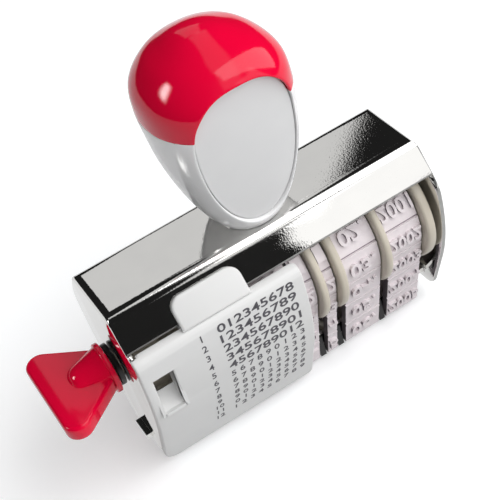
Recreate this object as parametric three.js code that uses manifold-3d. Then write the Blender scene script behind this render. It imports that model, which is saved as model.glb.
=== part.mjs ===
// A phrase date stamp. A chromed sheet frame carries a pear-shaped handle, a wide phrase band
// turned by a wing knob, and four date bands turned by thumb wheels on the same axle.
// Millimetres, Z up. X runs along the frame with the knob at its low end, Y runs to the back,
// and the origin lies on the paper under the middle of the frame.
import * as THREE from 'three';
import { mergeVertices } from 'three/addons/utils/BufferGeometryUtils.js';
import Module from 'manifold-3d';

const wasm = await Module();
wasm.setup();

// Whole stamp
const frameLength = 80;
const sheet = 1.2;
const seatGap = 0.3;
const cutOverrun = 3;

// Frame: a top plate with two sloping flanges, and an end plate folded down at each end
const topDepth = 18.4;
const flangeDrop = 7.1;
const bendRadius = 2;
const plateShoulderDrop = 3.9;
const plateShoulderRound = 5;
const plateFootHeight = 4.1;
const plateFootRound = 4;

// Handle: a pear with a flat front that holds the badge
const handleHeight = 47.4;
const headWidth = 32.4;
const headDepth = 34.6;
const handleAlong = 0.8;
const handleWall = 2.4;
const handleFloor = 5;
const capHeight = 16;
const lipLength = 3;
const lipWall = 1.2;
const badgeSetBack = 5.6;
const badgeMiddleDrop = 20.7;
const badgeLeanAngle = THREE.MathUtils.degToRad(6.8);
const badgeWidth = 22.8;
const badgeFootRoom = 2.87;
const badgeRise = 13.2;
const badgeThickness = 1.6;
const badgeSides = 36;
const screwBossRadius = 4;
const screwBossHeight = 24;

// Handle screw and washer
const screwRadius = 1.6;
const screwGrip = 21;
const screwHeadRadius = 3.4;
const screwHeadHeight = 2;
const driverSlot = 0.8;
const washerRadius = 4.6;
const washerThickness = 0.6;

// Axle
const axleRadius = 1.5;
const axleHeadRadius = 2.6;
const axleHeadHeight = 0.9;

// Band drums and thumb wheels
const drumRadius = 11.1;
const drumWall = 1.5;
const hubRadius = 3.4;
const webThickness = 1.4;
const discProud = 1.8;
const discHeadroom = 5;
const discGroundRoom = 15.6;
const discRimRound = 0.7;
const springWasherRadius = 5;
const springWasherThickness = 0.6;

// Widths along the axle of the four date wheels, from the middle of the frame to its right end
const dateWheelsStart = 1.6;
const tensDrumWidth = 4.1;
const tensDiscThickness = 1.9;
const unitsDrumWidth = 3;
const unitsDiscThickness = 2;
const monthDrumWidth = 10.2;
const monthDiscThickness = 1.8;
const yearDrumWidth = 9.6;
const yearDiscThickness = 2.4;

// Bands: rubber loops with raised type pads and a narrow flat foot
const bandThickness = 2.5;
const bandFootDepth = 9.6;
const bandFootRound = 1.2;
const typeRows = 21;
const typeGrooveWidth = 0.8;
const typeGrooveDepth = 0.6;
const phraseBandStart = -21.7;
const phraseBandEnd = 0.8;

// Phrase drive: drum, sleeve through the end plate, index drum and wing knob
const sleeveRadius = 3.2;
const sleeveReach = 45;
const indexDrumStart = -38.4;
const indexDrumEnd = -30.8;
const indexDrumInset = 0.5;
const indexPlaces = 12;
const indexRibWidth = 0.9;
const indexRibHeight = 0.7;

// Wing knob and its washer
const knobWasherRadius = 5.2;
const knobWasherThickness = 1.3;
const collarRadius = 6.2;
const collarThickness = 1.3;
const wingThickness = 4;
const wingRootWidth = 12.2;
const wingTipReach = 58;
const wingTipWidth = 34.4;
const wingRound = 3.4;
const wingEdgeRound = 0.9;
const bossRadius = 5.6;
const bossTipRadius = 1.8;
const bossLength = 9;

// Platen: a sheet bridge hooked in the end plates and a comb that backs the bands
const bridgeHeight = 7.5;
const bridgeDepth = 7.4;
const tabDepth = 6;
const tabReach = 1.3;
const combBase = 2.8;
const combDepth = 4.2;
const finDepth = 8;
const finFoot = 0.8;
const finThickness = 1.5;

// Phrase cover: a moulded shell clipped over the front flange
const coverEnd = 1.5;
const coverBandRoom = 4.3;
const coverStandOff = 3.75;
const coverWall = 1.5;
const coverFoot = 1.5;
const coverBendDrop = 6.9;
const coverBendRadius = 52;
const coverBendAngle = THREE.MathUtils.degToRad(24);
const coverShoulderRound = 2.4;
const coverCornerRound = 4;
const coverTabStart = -27.2;
const coverTabEnd = -10.2;
const coverTabReach = 6;
const coverTabWall = 1.8;
const coverTabRound = 3;
const clipReach = 2;
const clipWall = 1.2;
const windowSetBack = 2.4;
const windowWidth = 4.9;
const windowDrop = 6.9;
const windowHeight = 11;
const windowSillRise = 3.6;
const windowWallDepth = 3.2;
const windowWall = 0.8;

// Smoothness of round stretches
const arcStep = THREE.MathUtils.degToRad(20);
const bendStep = THREE.MathUtils.degToRad(5);
const wheelSides = 32;
const shaftSides = 20;
const pearSides = 36;
const pearRings = 20;
const hollowSides = 24;
const hollowRings = 12;

// Places worked out from the sizes above
const halfLength = frameLength / 2;
const plateInner = halfLength - sheet;
const bandRadius = drumRadius + seatGap + bandThickness;
const discRadius = bandRadius + discProud;
const axleHeight = discRadius + discGroundRoom;
const frameHeight = axleHeight + discRadius + discHeadroom;
const indexDrumRadius = drumRadius - indexDrumInset;
const coverReach = bandRadius + coverBandRoom;
const flangeHalf = coverReach - coverStandOff;
const flangeFoot = frameHeight - flangeDrop;
const flangeSpread = flangeHalf - topDepth / 2;
const plateInset = coverWall + seatGap;
const plateHalfDepth = coverReach - plateInset;
const plateShoulderTop = flangeFoot - plateShoulderDrop;
const coverBendTop = flangeFoot - coverBendDrop;
const windowTop = flangeFoot - windowDrop;
const windowFoot = windowTop - windowHeight;
const boreRadius = axleRadius + seatGap;
const windowStart = windowSetBack - halfLength;
const windowEnd = windowStart + windowWidth;
const partingHeight = handleHeight - capHeight;
const badgeReach = headDepth / 2 - badgeSetBack;
const badgeMiddleHeight = handleHeight - badgeMiddleDrop;
const badgeDrop = (badgeMiddleHeight - badgeFootRoom) / Math.cos(badgeLeanAngle);

// Where each date wheel's drum and disc start along the axle
const dateWheels = [];
let wheelStart = dateWheelsStart;
[
  ['tens', tensDrumWidth, tensDiscThickness],
  ['units', unitsDrumWidth, unitsDiscThickness],
  ['month', monthDrumWidth, monthDiscThickness],
  ['year', yearDrumWidth, yearDiscThickness],
].forEach(([name, drumWidth, discThickness]) => {
  const discStart = wheelStart + drumWidth;
  dateWheels.push({ name, drumStart: wheelStart, discStart, discThickness });
  wheelStart = discStart + discThickness + seatGap;
});

// Welds a closed geometry and turns it into a solid that can be joined and cut.
function solidOf(geometry) {
  const bare = geometry.clone();
  bare.deleteAttribute('normal');
  bare.deleteAttribute('uv');
  const welded = mergeVertices(bare);
  const corners = welded.index.array;
  const kept = [];
  for (let i = 0; i < corners.length; i += 3) {
    const [a, b, c] = [corners[i], corners[i + 1], corners[i + 2]];
    if (a !== b && b !== c && c !== a) kept.push(a, b, c);
  }
  const mesh = new wasm.Mesh({
    numProp: 3,
    vertProperties: new Float32Array(welded.attributes.position.array),
    triVerts: new Uint32Array(kept),
  });
  return new wasm.Manifold(mesh);
}

// Turns a solid back into a geometry.
function geometryOf(solid) {
  const mesh = solid.getMesh();
  const geometry = new THREE.BufferGeometry();
  geometry.setAttribute('position', new THREE.BufferAttribute(mesh.vertProperties, 3));
  geometry.setIndex(new THREE.BufferAttribute(mesh.triVerts, 1));
  geometry.computeVertexNormals();
  return geometry;
}

// Rounds the corners of an outline, each given as [across, up, radius].
function roundedOutline(corners) {
  const points = [];
  corners.forEach(([across, up, radius], i) => {
    const corner = new THREE.Vector2(across, up);
    const before = new THREE.Vector2(...corners.at(i - 1).slice(0, 2)).sub(corner).normalize();
    const after = new THREE.Vector2(...corners[(i + 1) % corners.length].slice(0, 2)).sub(corner).normalize();
    if (radius === 0) {
      points.push(corner);
      return;
    }
    const opening = Math.acos(THREE.MathUtils.clamp(before.dot(after), -1, 1));
    const turn = Math.PI - opening;
    const centre = before.clone().add(after).normalize()
      .multiplyScalar(radius / Math.sin(opening / 2)).add(corner);
    const first = before.clone().multiplyScalar(radius / Math.tan(opening / 2)).add(corner).sub(centre);
    const sense = Math.sign(before.cross(after)) * -1;
    const steps = Math.max(1, Math.ceil(turn / arcStep));
    for (let step = 0; step <= steps; step += 1) {
      const spoke = first.clone().rotateAround(new THREE.Vector2(), sense * turn * step / steps);
      points.push(spoke.add(centre));
    }
  });
  return points;
}

// Mirrors the right half of an outline, listed from top to bottom, to close it on the left.
function mirroredOutline(rightHalf) {
  const leftHalf = rightHalf.map(([across, up, radius]) => [-across, up, radius]);
  return roundedOutline([...rightHalf.toReversed(), ...leftHalf]);
}

// Prism of an outline between two places along Z, with the outline in (x, y).
function prismZ(outline, from, to) {
  const shape = new THREE.Shape(outline);
  return new THREE.ExtrudeGeometry(shape, { depth: to - from, bevelEnabled: false }).translate(0, 0, from);
}

// Prism along X, with the outline in (y, z).
function prismX(outline, from, to) {
  const turn = new THREE.Matrix4().makeBasis(
    new THREE.Vector3(0, 1, 0), new THREE.Vector3(0, 0, 1), new THREE.Vector3(1, 0, 0));
  return prismZ(outline, from, to).applyMatrix4(turn);
}

// Prism along Y, with the outline in (x, z).
function prismY(outline, from, to) {
  const turn = new THREE.Matrix4().makeBasis(
    new THREE.Vector3(1, 0, 0), new THREE.Vector3(0, 0, 1), new THREE.Vector3(0, -1, 0));
  return prismZ(outline, -to, -from).applyMatrix4(turn);
}

// Block between two corners.
function block([x0, y0, z0], [x1, y1, z1]) {
  const box = new THREE.BoxGeometry(x1 - x0, y1 - y0, z1 - z0);
  return box.translate((x0 + x1) / 2, (y0 + y1) / 2, (z0 + z1) / 2);
}

// Body turned about an axis along X at the axle's height, from a profile of [x, radius].
function turnedX(profile, sides) {
  const points = profile.map(([along, radius]) => new THREE.Vector2(radius, along));
  return new THREE.LatheGeometry(points, sides).rotateZ(-Math.PI / 2).translate(0, 0, axleHeight);
}

// Body turned about a vertical axis, from a profile of [radius, z].
function turnedZ(profile, sides) {
  const points = profile.map(([radius, up]) => new THREE.Vector2(radius, up));
  return new THREE.LatheGeometry(points, sides).rotateX(Math.PI / 2);
}

// Rod along X at the axle's height.
function rodX(radius, from, to, sides) {
  return turnedX([[from, 0], [from, radius], [to, radius], [to, 0]], sides);
}

// Rod along Z at the handle's place.
function rodZ(radius, from, to) {
  return turnedZ([[0, from], [radius, from], [radius, to], [0, to]], shaftSides).translate(handleAlong, 0, 0);
}

// Ring along X with a square section.
function ringX(inner, outer, from, to, sides) {
  return turnedX([[from, inner], [from, outer], [to, outer], [to, inner], [from, inner]], sides);
}

// Frame
function makeFrame() {
  const topHalf = topDepth / 2;
  const slope = new THREE.Vector2(flangeSpread, -flangeDrop).normalize();
  const cornerShift = sheet * Math.tan(slope.angleTo(new THREE.Vector2(1, 0)) / 2);
  const innerFoot = [flangeHalf + slope.y * sheet, flangeFoot - slope.x * sheet];
  const innerBend = bendRadius - sheet;
  const roof = roundedOutline([
    [flangeHalf, flangeFoot, 0],
    [topHalf, frameHeight, bendRadius],
    [-topHalf, frameHeight, bendRadius],
    [-flangeHalf, flangeFoot, 0],
    [-innerFoot[0], innerFoot[1], 0],
    [cornerShift - topHalf, frameHeight - sheet, innerBend],
    [topHalf - cornerShift, frameHeight - sheet, innerBend],
    [innerFoot[0], innerFoot[1], 0],
  ]);
  const [plateFoot, ...plateRise] = coverFace(plateInset, plateFootHeight);
  const plateEdge = plateRise.map((point) => [-point.x, point.y, 0]).toReversed();
  const plate = mirroredOutline([
    [topHalf, frameHeight, bendRadius],
    [flangeHalf, flangeFoot, bendRadius],
    [plateHalfDepth, plateShoulderTop, plateShoulderRound],
    ...plateEdge,
    [-plateFoot.x, plateFoot.y, plateFootRound],
  ]);
  const folds = roundedOutline([
    [-halfLength, 0, 0],
    [halfLength, 0, 0],
    [halfLength, frameHeight, bendRadius],
    [-halfLength, frameHeight, bendRadius],
  ]);
  const slotHalf = tabDepth / 2 + seatGap;
  const slot = block(
    [-halfLength - cutOverrun, -slotHalf, bridgeHeight - seatGap],
    [halfLength + cutOverrun, slotHalf, bridgeHeight + sheet + seatGap]);
  return solidOf(prismX(roof, -plateInner, plateInner))
    .add(solidOf(prismX(plate, -halfLength, -plateInner)))
    .add(solidOf(prismX(plate, plateInner, halfLength)))
    .intersect(solidOf(prismY(folds, -plateHalfDepth, plateHalfDepth)))
    .subtract(solidOf(slot))
    .subtract(solidOf(rodX(sleeveRadius + seatGap, -halfLength - cutOverrun, -plateInner + cutOverrun, shaftSides)))
    .subtract(solidOf(rodX(boreRadius, plateInner - cutOverrun, halfLength + cutOverrun, shaftSides)))
    .subtract(solidOf(rodZ(screwRadius + seatGap, frameHeight - sheet - cutOverrun, frameHeight + cutOverrun)));
}

// The pear's sections up its height, as shares of its height and of its head's width and depth
const pearShares = [
  [0, 0.46],
  [0.05, 0.56],
  [0.16, 0.715],
  [0.3, 0.845],
  [0.44, 0.935],
  [0.58, 0.98],
  [0.68, 1],
  [0.79, 0.955],
  [0.89, 0.735],
  [0.95, 0.465],
  [0.985, 0.235],
  [1, 0],
];

// How square the sections are: 2 would be an ellipse
const pearPower = 2.2;
const badgeTopPower = 2.5;
const badgeFootPower = 2;

// Point on the unit curve of a power at an angle.
function squarish(angle, power) {
  const ease = (value) => Math.sign(value) * Math.abs(value) ** (2 / power);
  return new THREE.Vector2(ease(Math.cos(angle)), ease(Math.sin(angle)));
}

// The handle's pear, or the same pear drawn in by an inset all round.
function pear(inset) {
  const halfWidth = headWidth / 2 - inset;
  const halfDepth = headDepth / 2 - inset;
  const floor = inset === 0 ? 0 : handleFloor;
  const rise = handleHeight - floor - inset;
  const knots = pearShares.map(([up, out]) => new THREE.Vector3(
    up * rise + floor, out * halfWidth, out * halfDepth));
  const sides = inset === 0 ? pearSides : hollowSides;
  const heights = new THREE.CatmullRomCurve3(knots).getSpacedPoints(inset === 0 ? pearRings : hollowRings);
  const rings = heights.slice(0, -1);
  const positions = [handleAlong, 0, frameHeight + floor];
  rings.forEach((ring) => {
    for (let side = 0; side < sides; side += 1) {
      const angle = 2 * Math.PI * side / sides;
      const spoke = squarish(angle, pearPower);
      positions.push(handleAlong + ring.y * spoke.x, ring.z * spoke.y, frameHeight + ring.x);
    }
  });
  positions.push(handleAlong, 0, frameHeight + floor + rise);
  const crown = positions.length / 3 - 1;
  const triangles = [];
  for (let side = 0; side < sides; side += 1) {
    const next = (side + 1) % sides;
    triangles.push(0, 1 + next, 1 + side);
    rings.slice(1).forEach((_, level) => {
      const low = 1 + level * sides;
      const high = low + sides;
      triangles.push(low + side, low + next, high + next, low + side, high + next, high + side);
    });
    const last = 1 + (rings.length - 1) * sides;
    triangles.push(last + side, last + next, crown);
  }
  const geometry = new THREE.BufferGeometry();
  geometry.setAttribute('position', new THREE.Float32BufferAttribute(positions, 3));
  geometry.setIndex(triangles);
  return solidOf(geometry);
}

// Egg-shaped prism square to the badge's face: its outline grown all round, from a depth behind
// the face to a depth nearer the front, where a negative depth stands before the face.
function badgePrism(growth, back, front) {
  const outline = [];
  for (let side = 0; side < badgeSides; side += 1) {
    const angle = 2 * Math.PI * side / badgeSides;
    const upper = angle < Math.PI;
    const spoke = squarish(angle, upper ? badgeTopPower : badgeFootPower);
    const reach = (upper ? badgeRise : badgeDrop) + growth;
    outline.push(new THREE.Vector2(spoke.x * (badgeWidth / 2 + growth), spoke.y * reach));
  }
  return solidOf(prismY(outline, front, back)
    .rotateX(badgeLeanAngle)
    .translate(handleAlong, -badgeReach, frameHeight + badgeMiddleHeight));
}

// Everything between two heights above the frame, round the handle.
function handleSlice(from, to) {
  return solidOf(block([-headWidth, -headDepth, frameHeight + from], [headWidth, headDepth, frameHeight + to]));
}

// The pear drawn in by an inset, and its front drawn in as far behind the badge's seat.
const badgeSeat = badgeThickness + seatGap;

function seatedPear(inset) {
  return pear(inset).subtract(badgePrism(seatGap + inset, badgeSeat + inset, -headDepth));
}

function makeHandleBody() {
  const boss = solidOf(rodZ(screwBossRadius, frameHeight, frameHeight + screwBossHeight));
  const bore = solidOf(rodZ(screwRadius + seatGap, frameHeight - cutOverrun, frameHeight + screwGrip + seatGap));
  return seatedPear(0).subtract(seatedPear(handleWall))
    .intersect(handleSlice(0, partingHeight)).add(boss).subtract(bore);
}

// Cap, with a lip that goes down inside the body's rim
function makeHandleCap() {
  const lipFit = handleWall + seatGap;
  const hollow = seatedPear(lipFit + lipWall);
  const shell = seatedPear(0).subtract(seatedPear(handleWall));
  const root = seatedPear(handleWall / 2).subtract(hollow);
  const lip = seatedPear(lipFit).subtract(hollow);
  return shell.intersect(handleSlice(partingHeight, handleHeight + cutOverrun))
    .add(root.intersect(handleSlice(partingHeight, partingHeight + lipWall)))
    .add(lip.intersect(handleSlice(partingHeight - lipLength, partingHeight + lipWall)));
}

function makeHandleBadge() {
  return badgePrism(0, badgeThickness, 0);
}

// Handle screw, slotted in its head, and its washer
const washerTop = frameHeight - sheet - seatGap;
const screwHeadTop = washerTop - washerThickness - seatGap;

function makeHandleScrew() {
  const shank = rodZ(screwRadius, screwHeadTop - screwHeadHeight, frameHeight + screwGrip);
  const head = rodZ(screwHeadRadius, screwHeadTop - screwHeadHeight, screwHeadTop);
  const slot = block(
    [handleAlong - screwHeadRadius - cutOverrun, -driverSlot / 2, screwHeadTop - screwHeadHeight - cutOverrun],
    [handleAlong + screwHeadRadius + cutOverrun, driverSlot / 2, screwHeadTop - screwHeadHeight + driverSlot]);
  return solidOf(head).add(solidOf(shank)).subtract(solidOf(slot));
}

function makeHandleWasher() {
  return solidOf(rodZ(washerRadius, washerTop - washerThickness, washerTop))
    .subtract(solidOf(rodZ(screwRadius + seatGap, washerTop - washerThickness - cutOverrun, washerTop + cutOverrun)));
}

// Axle, headed outside the right end plate
function makeAxle() {
  const headStart = halfLength + seatGap;
  return solidOf(turnedX([
    [seatGap - sleeveReach, 0],
    [seatGap - sleeveReach, axleRadius],
    [headStart, axleRadius],
    [headStart, axleHeadRadius],
    [headStart + axleHeadHeight / 2, axleHeadRadius],
    [headStart + axleHeadHeight, axleHeadRadius - axleHeadHeight / 2],
    [headStart + axleHeadHeight, 0],
  ], shaftSides));
}

// Date wheel: a hollow drum for its band and a thumb disc beside it
function makeDateWheel({ drumStart, discStart, discThickness }) {
  const discEnd = discStart + discThickness;
  const rimCentre = discRadius - discRimRound;
  const rim = [];
  for (let angle = Math.PI; angle >= 0; angle -= Math.PI / 6) {
    const middle = Math.cos(angle) < 0 ? discStart + discRimRound : discEnd - discRimRound;
    rim.push([middle + discRimRound * Math.cos(angle), rimCentre + discRimRound * Math.sin(angle)]);
  }
  return solidOf(turnedX([
    [drumStart, boreRadius],
    [drumStart, hubRadius],
    [discStart, hubRadius],
    [discStart, drumRadius - drumWall],
    [drumStart, drumRadius - drumWall],
    [drumStart, drumRadius],
    [discStart, drumRadius],
    ...rim,
    [discEnd, boreRadius],
    [drumStart, boreRadius],
  ], wheelSides));
}

// Spring washer that keeps the wheels together
function makeSpringWasher() {
  const lastWheel = dateWheels.at(-1);
  const start = lastWheel.discStart + lastWheel.discThickness + seatGap;
  return solidOf(ringX(boreRadius, springWasherRadius, start, start + springWasherThickness, shaftSides));
}

// Phrase drum with the sleeve that reaches through the left end plate
function makePhraseWheel() {
  const web = (phraseBandStart + phraseBandEnd) / 2;
  const end = dateWheels[0].drumStart - seatGap;
  return solidOf(turnedX([
    [-sleeveReach, boreRadius],
    [-sleeveReach, sleeveRadius],
    [web - webThickness / 2, sleeveRadius],
    [web - webThickness / 2, drumRadius - drumWall],
    [phraseBandStart, drumRadius - drumWall],
    [phraseBandStart, drumRadius],
    [phraseBandEnd, drumRadius],
    [phraseBandEnd, drumRadius - drumWall],
    [web + webThickness / 2, drumRadius - drumWall],
    [web + webThickness / 2, hubRadius],
    [end, hubRadius],
    [end, boreRadius],
    [-sleeveReach, boreRadius],
  ], wheelSides));
}

// Index drum with a place for each phrase's number, parted by ribs
function makeIndexDrum() {
  const outline = [];
  const placeAngle = 2 * Math.PI / indexPlaces;
  const ribAngle = indexRibWidth / indexDrumRadius;
  for (let place = 0; place < indexPlaces; place += 1) {
    const middle = place * placeAngle;
    [[-1, 0], [-1, 1], [1, 1], [1, 0]].forEach(([side, raised]) => {
      const angle = middle + side * ribAngle / 2;
      const radius = indexDrumRadius - indexRibHeight + raised * indexRibHeight;
      outline.push(new THREE.Vector2(radius * Math.cos(angle), axleHeight + radius * Math.sin(angle)));
    });
  }
  const hollow = ringX(hubRadius + drumWall, indexDrumRadius - indexRibHeight - drumWall,
    indexDrumStart + webThickness, indexDrumEnd + cutOverrun, wheelSides);
  const bore = rodX(sleeveRadius + seatGap, indexDrumStart - cutOverrun, indexDrumEnd + cutOverrun, shaftSides);
  return solidOf(prismX(outline, indexDrumStart, indexDrumEnd)).subtract(solidOf(hollow)).subtract(solidOf(bore));
}

// Knob: a flat wing, a collar against the washer and a boss round the sleeve
const washerStart = -halfLength - seatGap;
const collarStart = washerStart - knobWasherThickness - seatGap;
const wingStart = collarStart - collarThickness;

function makeKnob() {
  const outline = roundedOutline([
    [wingStart, -wingRootWidth / 2, 0],
    [wingStart, wingRootWidth / 2, 0],
    [-wingTipReach, wingTipWidth / 2, wingRound],
    [-wingTipReach, -wingTipWidth / 2, wingRound],
  ].toReversed());
  const level = axleHeight - wingThickness / 2;
  const wing = new THREE.ExtrudeGeometry(new THREE.Shape(outline), {
    depth: wingThickness - 2 * wingEdgeRound,
    bevelThickness: wingEdgeRound,
    bevelSize: wingEdgeRound,
    bevelOffset: -wingEdgeRound,
    bevelSegments: 3,
  }).translate(0, 0, level + wingEdgeRound);
  const boss = turnedX([
    [wingStart - bossLength, 0],
    [wingStart - bossLength, bossTipRadius],
    [wingStart, bossRadius],
    [wingStart, collarRadius],
    [collarStart, collarRadius],
    [collarStart, 0],
  ], wheelSides);
  const bore = rodX(sleeveRadius + seatGap, -sleeveReach - seatGap, collarStart + cutOverrun, shaftSides);
  return solidOf(wing).add(solidOf(boss)).subtract(solidOf(bore));
}

function makeKnobWasher() {
  return solidOf(ringX(sleeveRadius + seatGap, knobWasherRadius,
    washerStart - knobWasherThickness, washerStart, wheelSides));
}

// Points and outward directions round a band's loop, drawn in from its printing surface by an inset.
function bandLoop(inset) {
  const wheel = new THREE.Vector2(0, axleHeight);
  const toeRadius = Math.max(bandFootRound - inset, 0);
  const toeSet = Math.max(bandFootRound, inset);
  const toe = new THREE.Vector2(bandFootDepth / 2 - toeSet, toeSet);
  const wheelRadius = bandRadius - inset;
  const apart = toe.clone().sub(wheel);
  const lean = apart.angle() + Math.acos((wheelRadius - toeRadius) / apart.length());
  const side = lean - 2 * Math.PI;
  return { wheel, toe, wheelRadius, toeRadius, side };
}

// The band's stretches in order from the middle of the foot: flat, toe, side and the wheel's half turn.
function bandStretches(inset) {
  const { wheel, toe, wheelRadius, toeRadius, side } = bandLoop(inset);
  const spoke = (centre, radius, angle) => new THREE.Vector2(Math.cos(angle), Math.sin(angle))
    .multiplyScalar(radius).add(centre);
  const footEdge = spoke(toe, toeRadius, -Math.PI / 2);
  const toeEnd = spoke(toe, toeRadius, side);
  const wheelStart = spoke(wheel, wheelRadius, side);
  return [
    { length: footEdge.x, at: (share) => [new THREE.Vector2(footEdge.x * share, footEdge.y), -Math.PI / 2] },
    {
      length: toeRadius * (side + Math.PI / 2),
      at: (share) => {
        const angle = -Math.PI / 2 + (side + Math.PI / 2) * share;
        return [spoke(toe, toeRadius, angle), angle];
      },
    },
    { length: toeEnd.distanceTo(wheelStart), at: (share) => [toeEnd.clone().lerp(wheelStart, share), side] },
    {
      length: wheelRadius * (Math.PI / 2 - side),
      at: (share) => {
        const angle = side + (Math.PI / 2 - side) * share;
        return [spoke(wheel, wheelRadius, angle), angle];
      },
    },
  ];
}

// A point of the printing surface at a distance from the foot's middle, sunk by a depth.
function bandPoint(stretches, distance, depth) {
  let left = Math.abs(distance);
  let index = 0;
  while (index < stretches.length - 1 && left > stretches[index].length) {
    left -= stretches[index].length;
    index += 1;
  }
  const [point, angle] = stretches[index].at(Math.min(left / stretches[index].length, 1));
  point.sub(new THREE.Vector2(Math.cos(angle), Math.sin(angle)).multiplyScalar(depth));
  return new THREE.Vector2(Math.sign(distance) * point.x, point.y);
}

function makeBand(from, to) {
  const stretches = bandStretches(0);
  const halfLoop = stretches.reduce((sum, stretch) => sum + stretch.length, 0);
  const pitch = 2 * halfLoop / typeRows;
  const padShares = [-1, -0.5, 0, 0.5, 1];
  const outline = [];
  for (let row = 0; row < typeRows; row += 1) {
    const middle = (row - (typeRows - 1) / 2) * pitch;
    const padHalf = (pitch - typeGrooveWidth) / 2;
    outline.push(bandPoint(stretches, middle - padHalf, typeGrooveDepth));
    padShares.forEach((share) => outline.push(bandPoint(stretches, middle + share * padHalf, 0)));
    outline.push(bandPoint(stretches, middle + padHalf, typeGrooveDepth));
  }
  const inside = [];
  const innerStretches = bandStretches(bandThickness);
  innerStretches.forEach((stretch) => {
    const curved = stretch === innerStretches.at(-1);
    const steps = curved ? wheelSides / 2 : 1;
    for (let step = 0; step < steps; step += 1) inside.push(stretch.at(step / steps)[0]);
  });
  inside.push(innerStretches.at(-1).at(1)[0]);
  const rightSide = inside.slice(1);
  const leftSide = rightSide.slice(0, -1).toReversed().map((point) => new THREE.Vector2(-point.x, point.y));
  const loop = new THREE.Shape(outline);
  loop.holes.push(new THREE.Path([...rightSide, ...leftSide]));
  return solidOf(prismX(outline, from, to)).subtract(
    solidOf(prismX([...rightSide, ...leftSide], from - cutOverrun, to + cutOverrun)));
}

// Platen bridge: a strip with a tab through each end plate
function makeBridge() {
  const strip = block([-plateInner + seatGap, -bridgeDepth / 2, bridgeHeight],
    [plateInner - seatGap, bridgeDepth / 2, bridgeHeight + sheet]);
  const tabEnd = halfLength + tabReach;
  const tabs = block([-tabEnd, -tabDepth / 2, bridgeHeight], [tabEnd, tabDepth / 2, bridgeHeight + sheet]);
  return solidOf(strip).add(solidOf(tabs));
}

// Platen comb: a bar under the bridge that backs every band, with a fin between neighbours
function makeComb() {
  const barEnd = dateWheels.at(-1).discStart - seatGap;
  const bar = block([phraseBandStart, -combDepth / 2, combBase], [barEnd, combDepth / 2, bridgeHeight - seatGap]);
  let comb = solidOf(bar);
  dateWheels.slice(0, -1).forEach(({ discStart, discThickness }) => {
    const middle = discStart + discThickness / 2;
    comb = comb.add(solidOf(block([middle - finThickness / 2, -finDepth / 2, finFoot],
      [middle + finThickness / 2, finDepth / 2, bridgeHeight - seatGap])));
  });
  return comb;
}

// The cover's outer face drawn in by an inset, from a foot's height up to the top of its bend, in (y, z).
function coverFace(inset, foot) {
  const radius = coverBendRadius - inset;
  const centre = new THREE.Vector2(coverBendRadius - coverReach, coverBendTop);
  const spoke = (angle) => new THREE.Vector2(-Math.cos(angle), -Math.sin(angle)).multiplyScalar(radius).add(centre);
  const bendEnd = spoke(coverBendAngle);
  const footRun = (bendEnd.y - foot) * Math.tan(coverBendAngle);
  const points = [new THREE.Vector2(bendEnd.x + footRun, foot)];
  const steps = Math.ceil(coverBendAngle / bendStep);
  for (let step = steps; step >= 0; step -= 1) points.push(spoke(coverBendAngle * step / steps));
  return points;
}

// Point beside the front flange: distances up the flange from its lower edge and out from its face.
function besideFlange(up, out) {
  const slope = new THREE.Vector2(flangeSpread, flangeDrop).normalize();
  return [-flangeHalf + slope.x * up - slope.y * out, flangeFoot + slope.y * up + slope.x * out];
}

// Phrase cover
function makeCover() {
  const outer = coverFace(0, coverFoot).map((point) => [point.x, point.y, 0]);
  const inner = coverFace(coverWall, coverFoot).map((point) => [point.x, point.y, 0]).toReversed();
  const ledgeTop = flangeFoot - seatGap;
  const ledgeEnd = -flangeHalf - seatGap;
  const wall = roundedOutline([
    ...outer,
    [-coverReach, ledgeTop, coverShoulderRound],
    [ledgeEnd, ledgeTop, 0],
    [ledgeEnd, ledgeTop - coverWall, 0],
    [coverWall - coverReach, ledgeTop - coverWall, coverShoulderRound - coverWall],
    ...inner,
  ]).toReversed();
  const sheetOutline = roundedOutline([
    [-halfLength, coverFoot, coverCornerRound],
    [coverEnd, coverFoot, coverWall],
    [coverEnd, ledgeTop, coverWall],
    [-halfLength, ledgeTop, coverWall],
  ]);
  const panel = solidOf(prismX(wall, -halfLength, coverEnd))
    .intersect(solidOf(prismY(sheetOutline, -2 * coverReach, 0)));
  const outsideLeg = seatGap + coverTabWall;
  const insideLeg = sheet + seatGap;
  const channel = roundedOutline([
    [...besideFlange(coverTabReach, outsideLeg), coverTabWall / 2],
    [...besideFlange(coverTabReach, seatGap), coverTabWall / 3],
    [...besideFlange(-seatGap, seatGap), 0],
    [...besideFlange(-seatGap, -insideLeg), 0],
    [...besideFlange(clipReach, -insideLeg), 0],
    [...besideFlange(clipReach, -insideLeg - clipWall), 0],
    [...besideFlange(-seatGap - clipWall, -insideLeg - clipWall), 0],
    [...besideFlange(-seatGap - clipWall, outsideLeg), 0],
  ].toReversed());
  const channelTop = besideFlange(coverTabReach, outsideLeg)[1];
  const tabOutline = roundedOutline([
    [coverTabStart, coverFoot, 0],
    [coverTabEnd, coverFoot, 0],
    [coverTabEnd, channelTop, coverTabRound],
    [coverTabStart, channelTop, coverTabRound],
  ]);
  const tab = solidOf(prismX(channel, coverTabStart, coverTabEnd))
    .intersect(solidOf(prismY(tabOutline, -2 * coverReach, 0)));
  const plateRoom = block(
    [-halfLength - cutOverrun, -plateHalfDepth - seatGap, coverBendTop],
    [seatGap - plateInner, 0, frameHeight]);
  return panel.subtract(solidOf(plateRoom)).add(tab).add(makeWindowWalls()).subtract(makeWindowCut());
}

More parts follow.
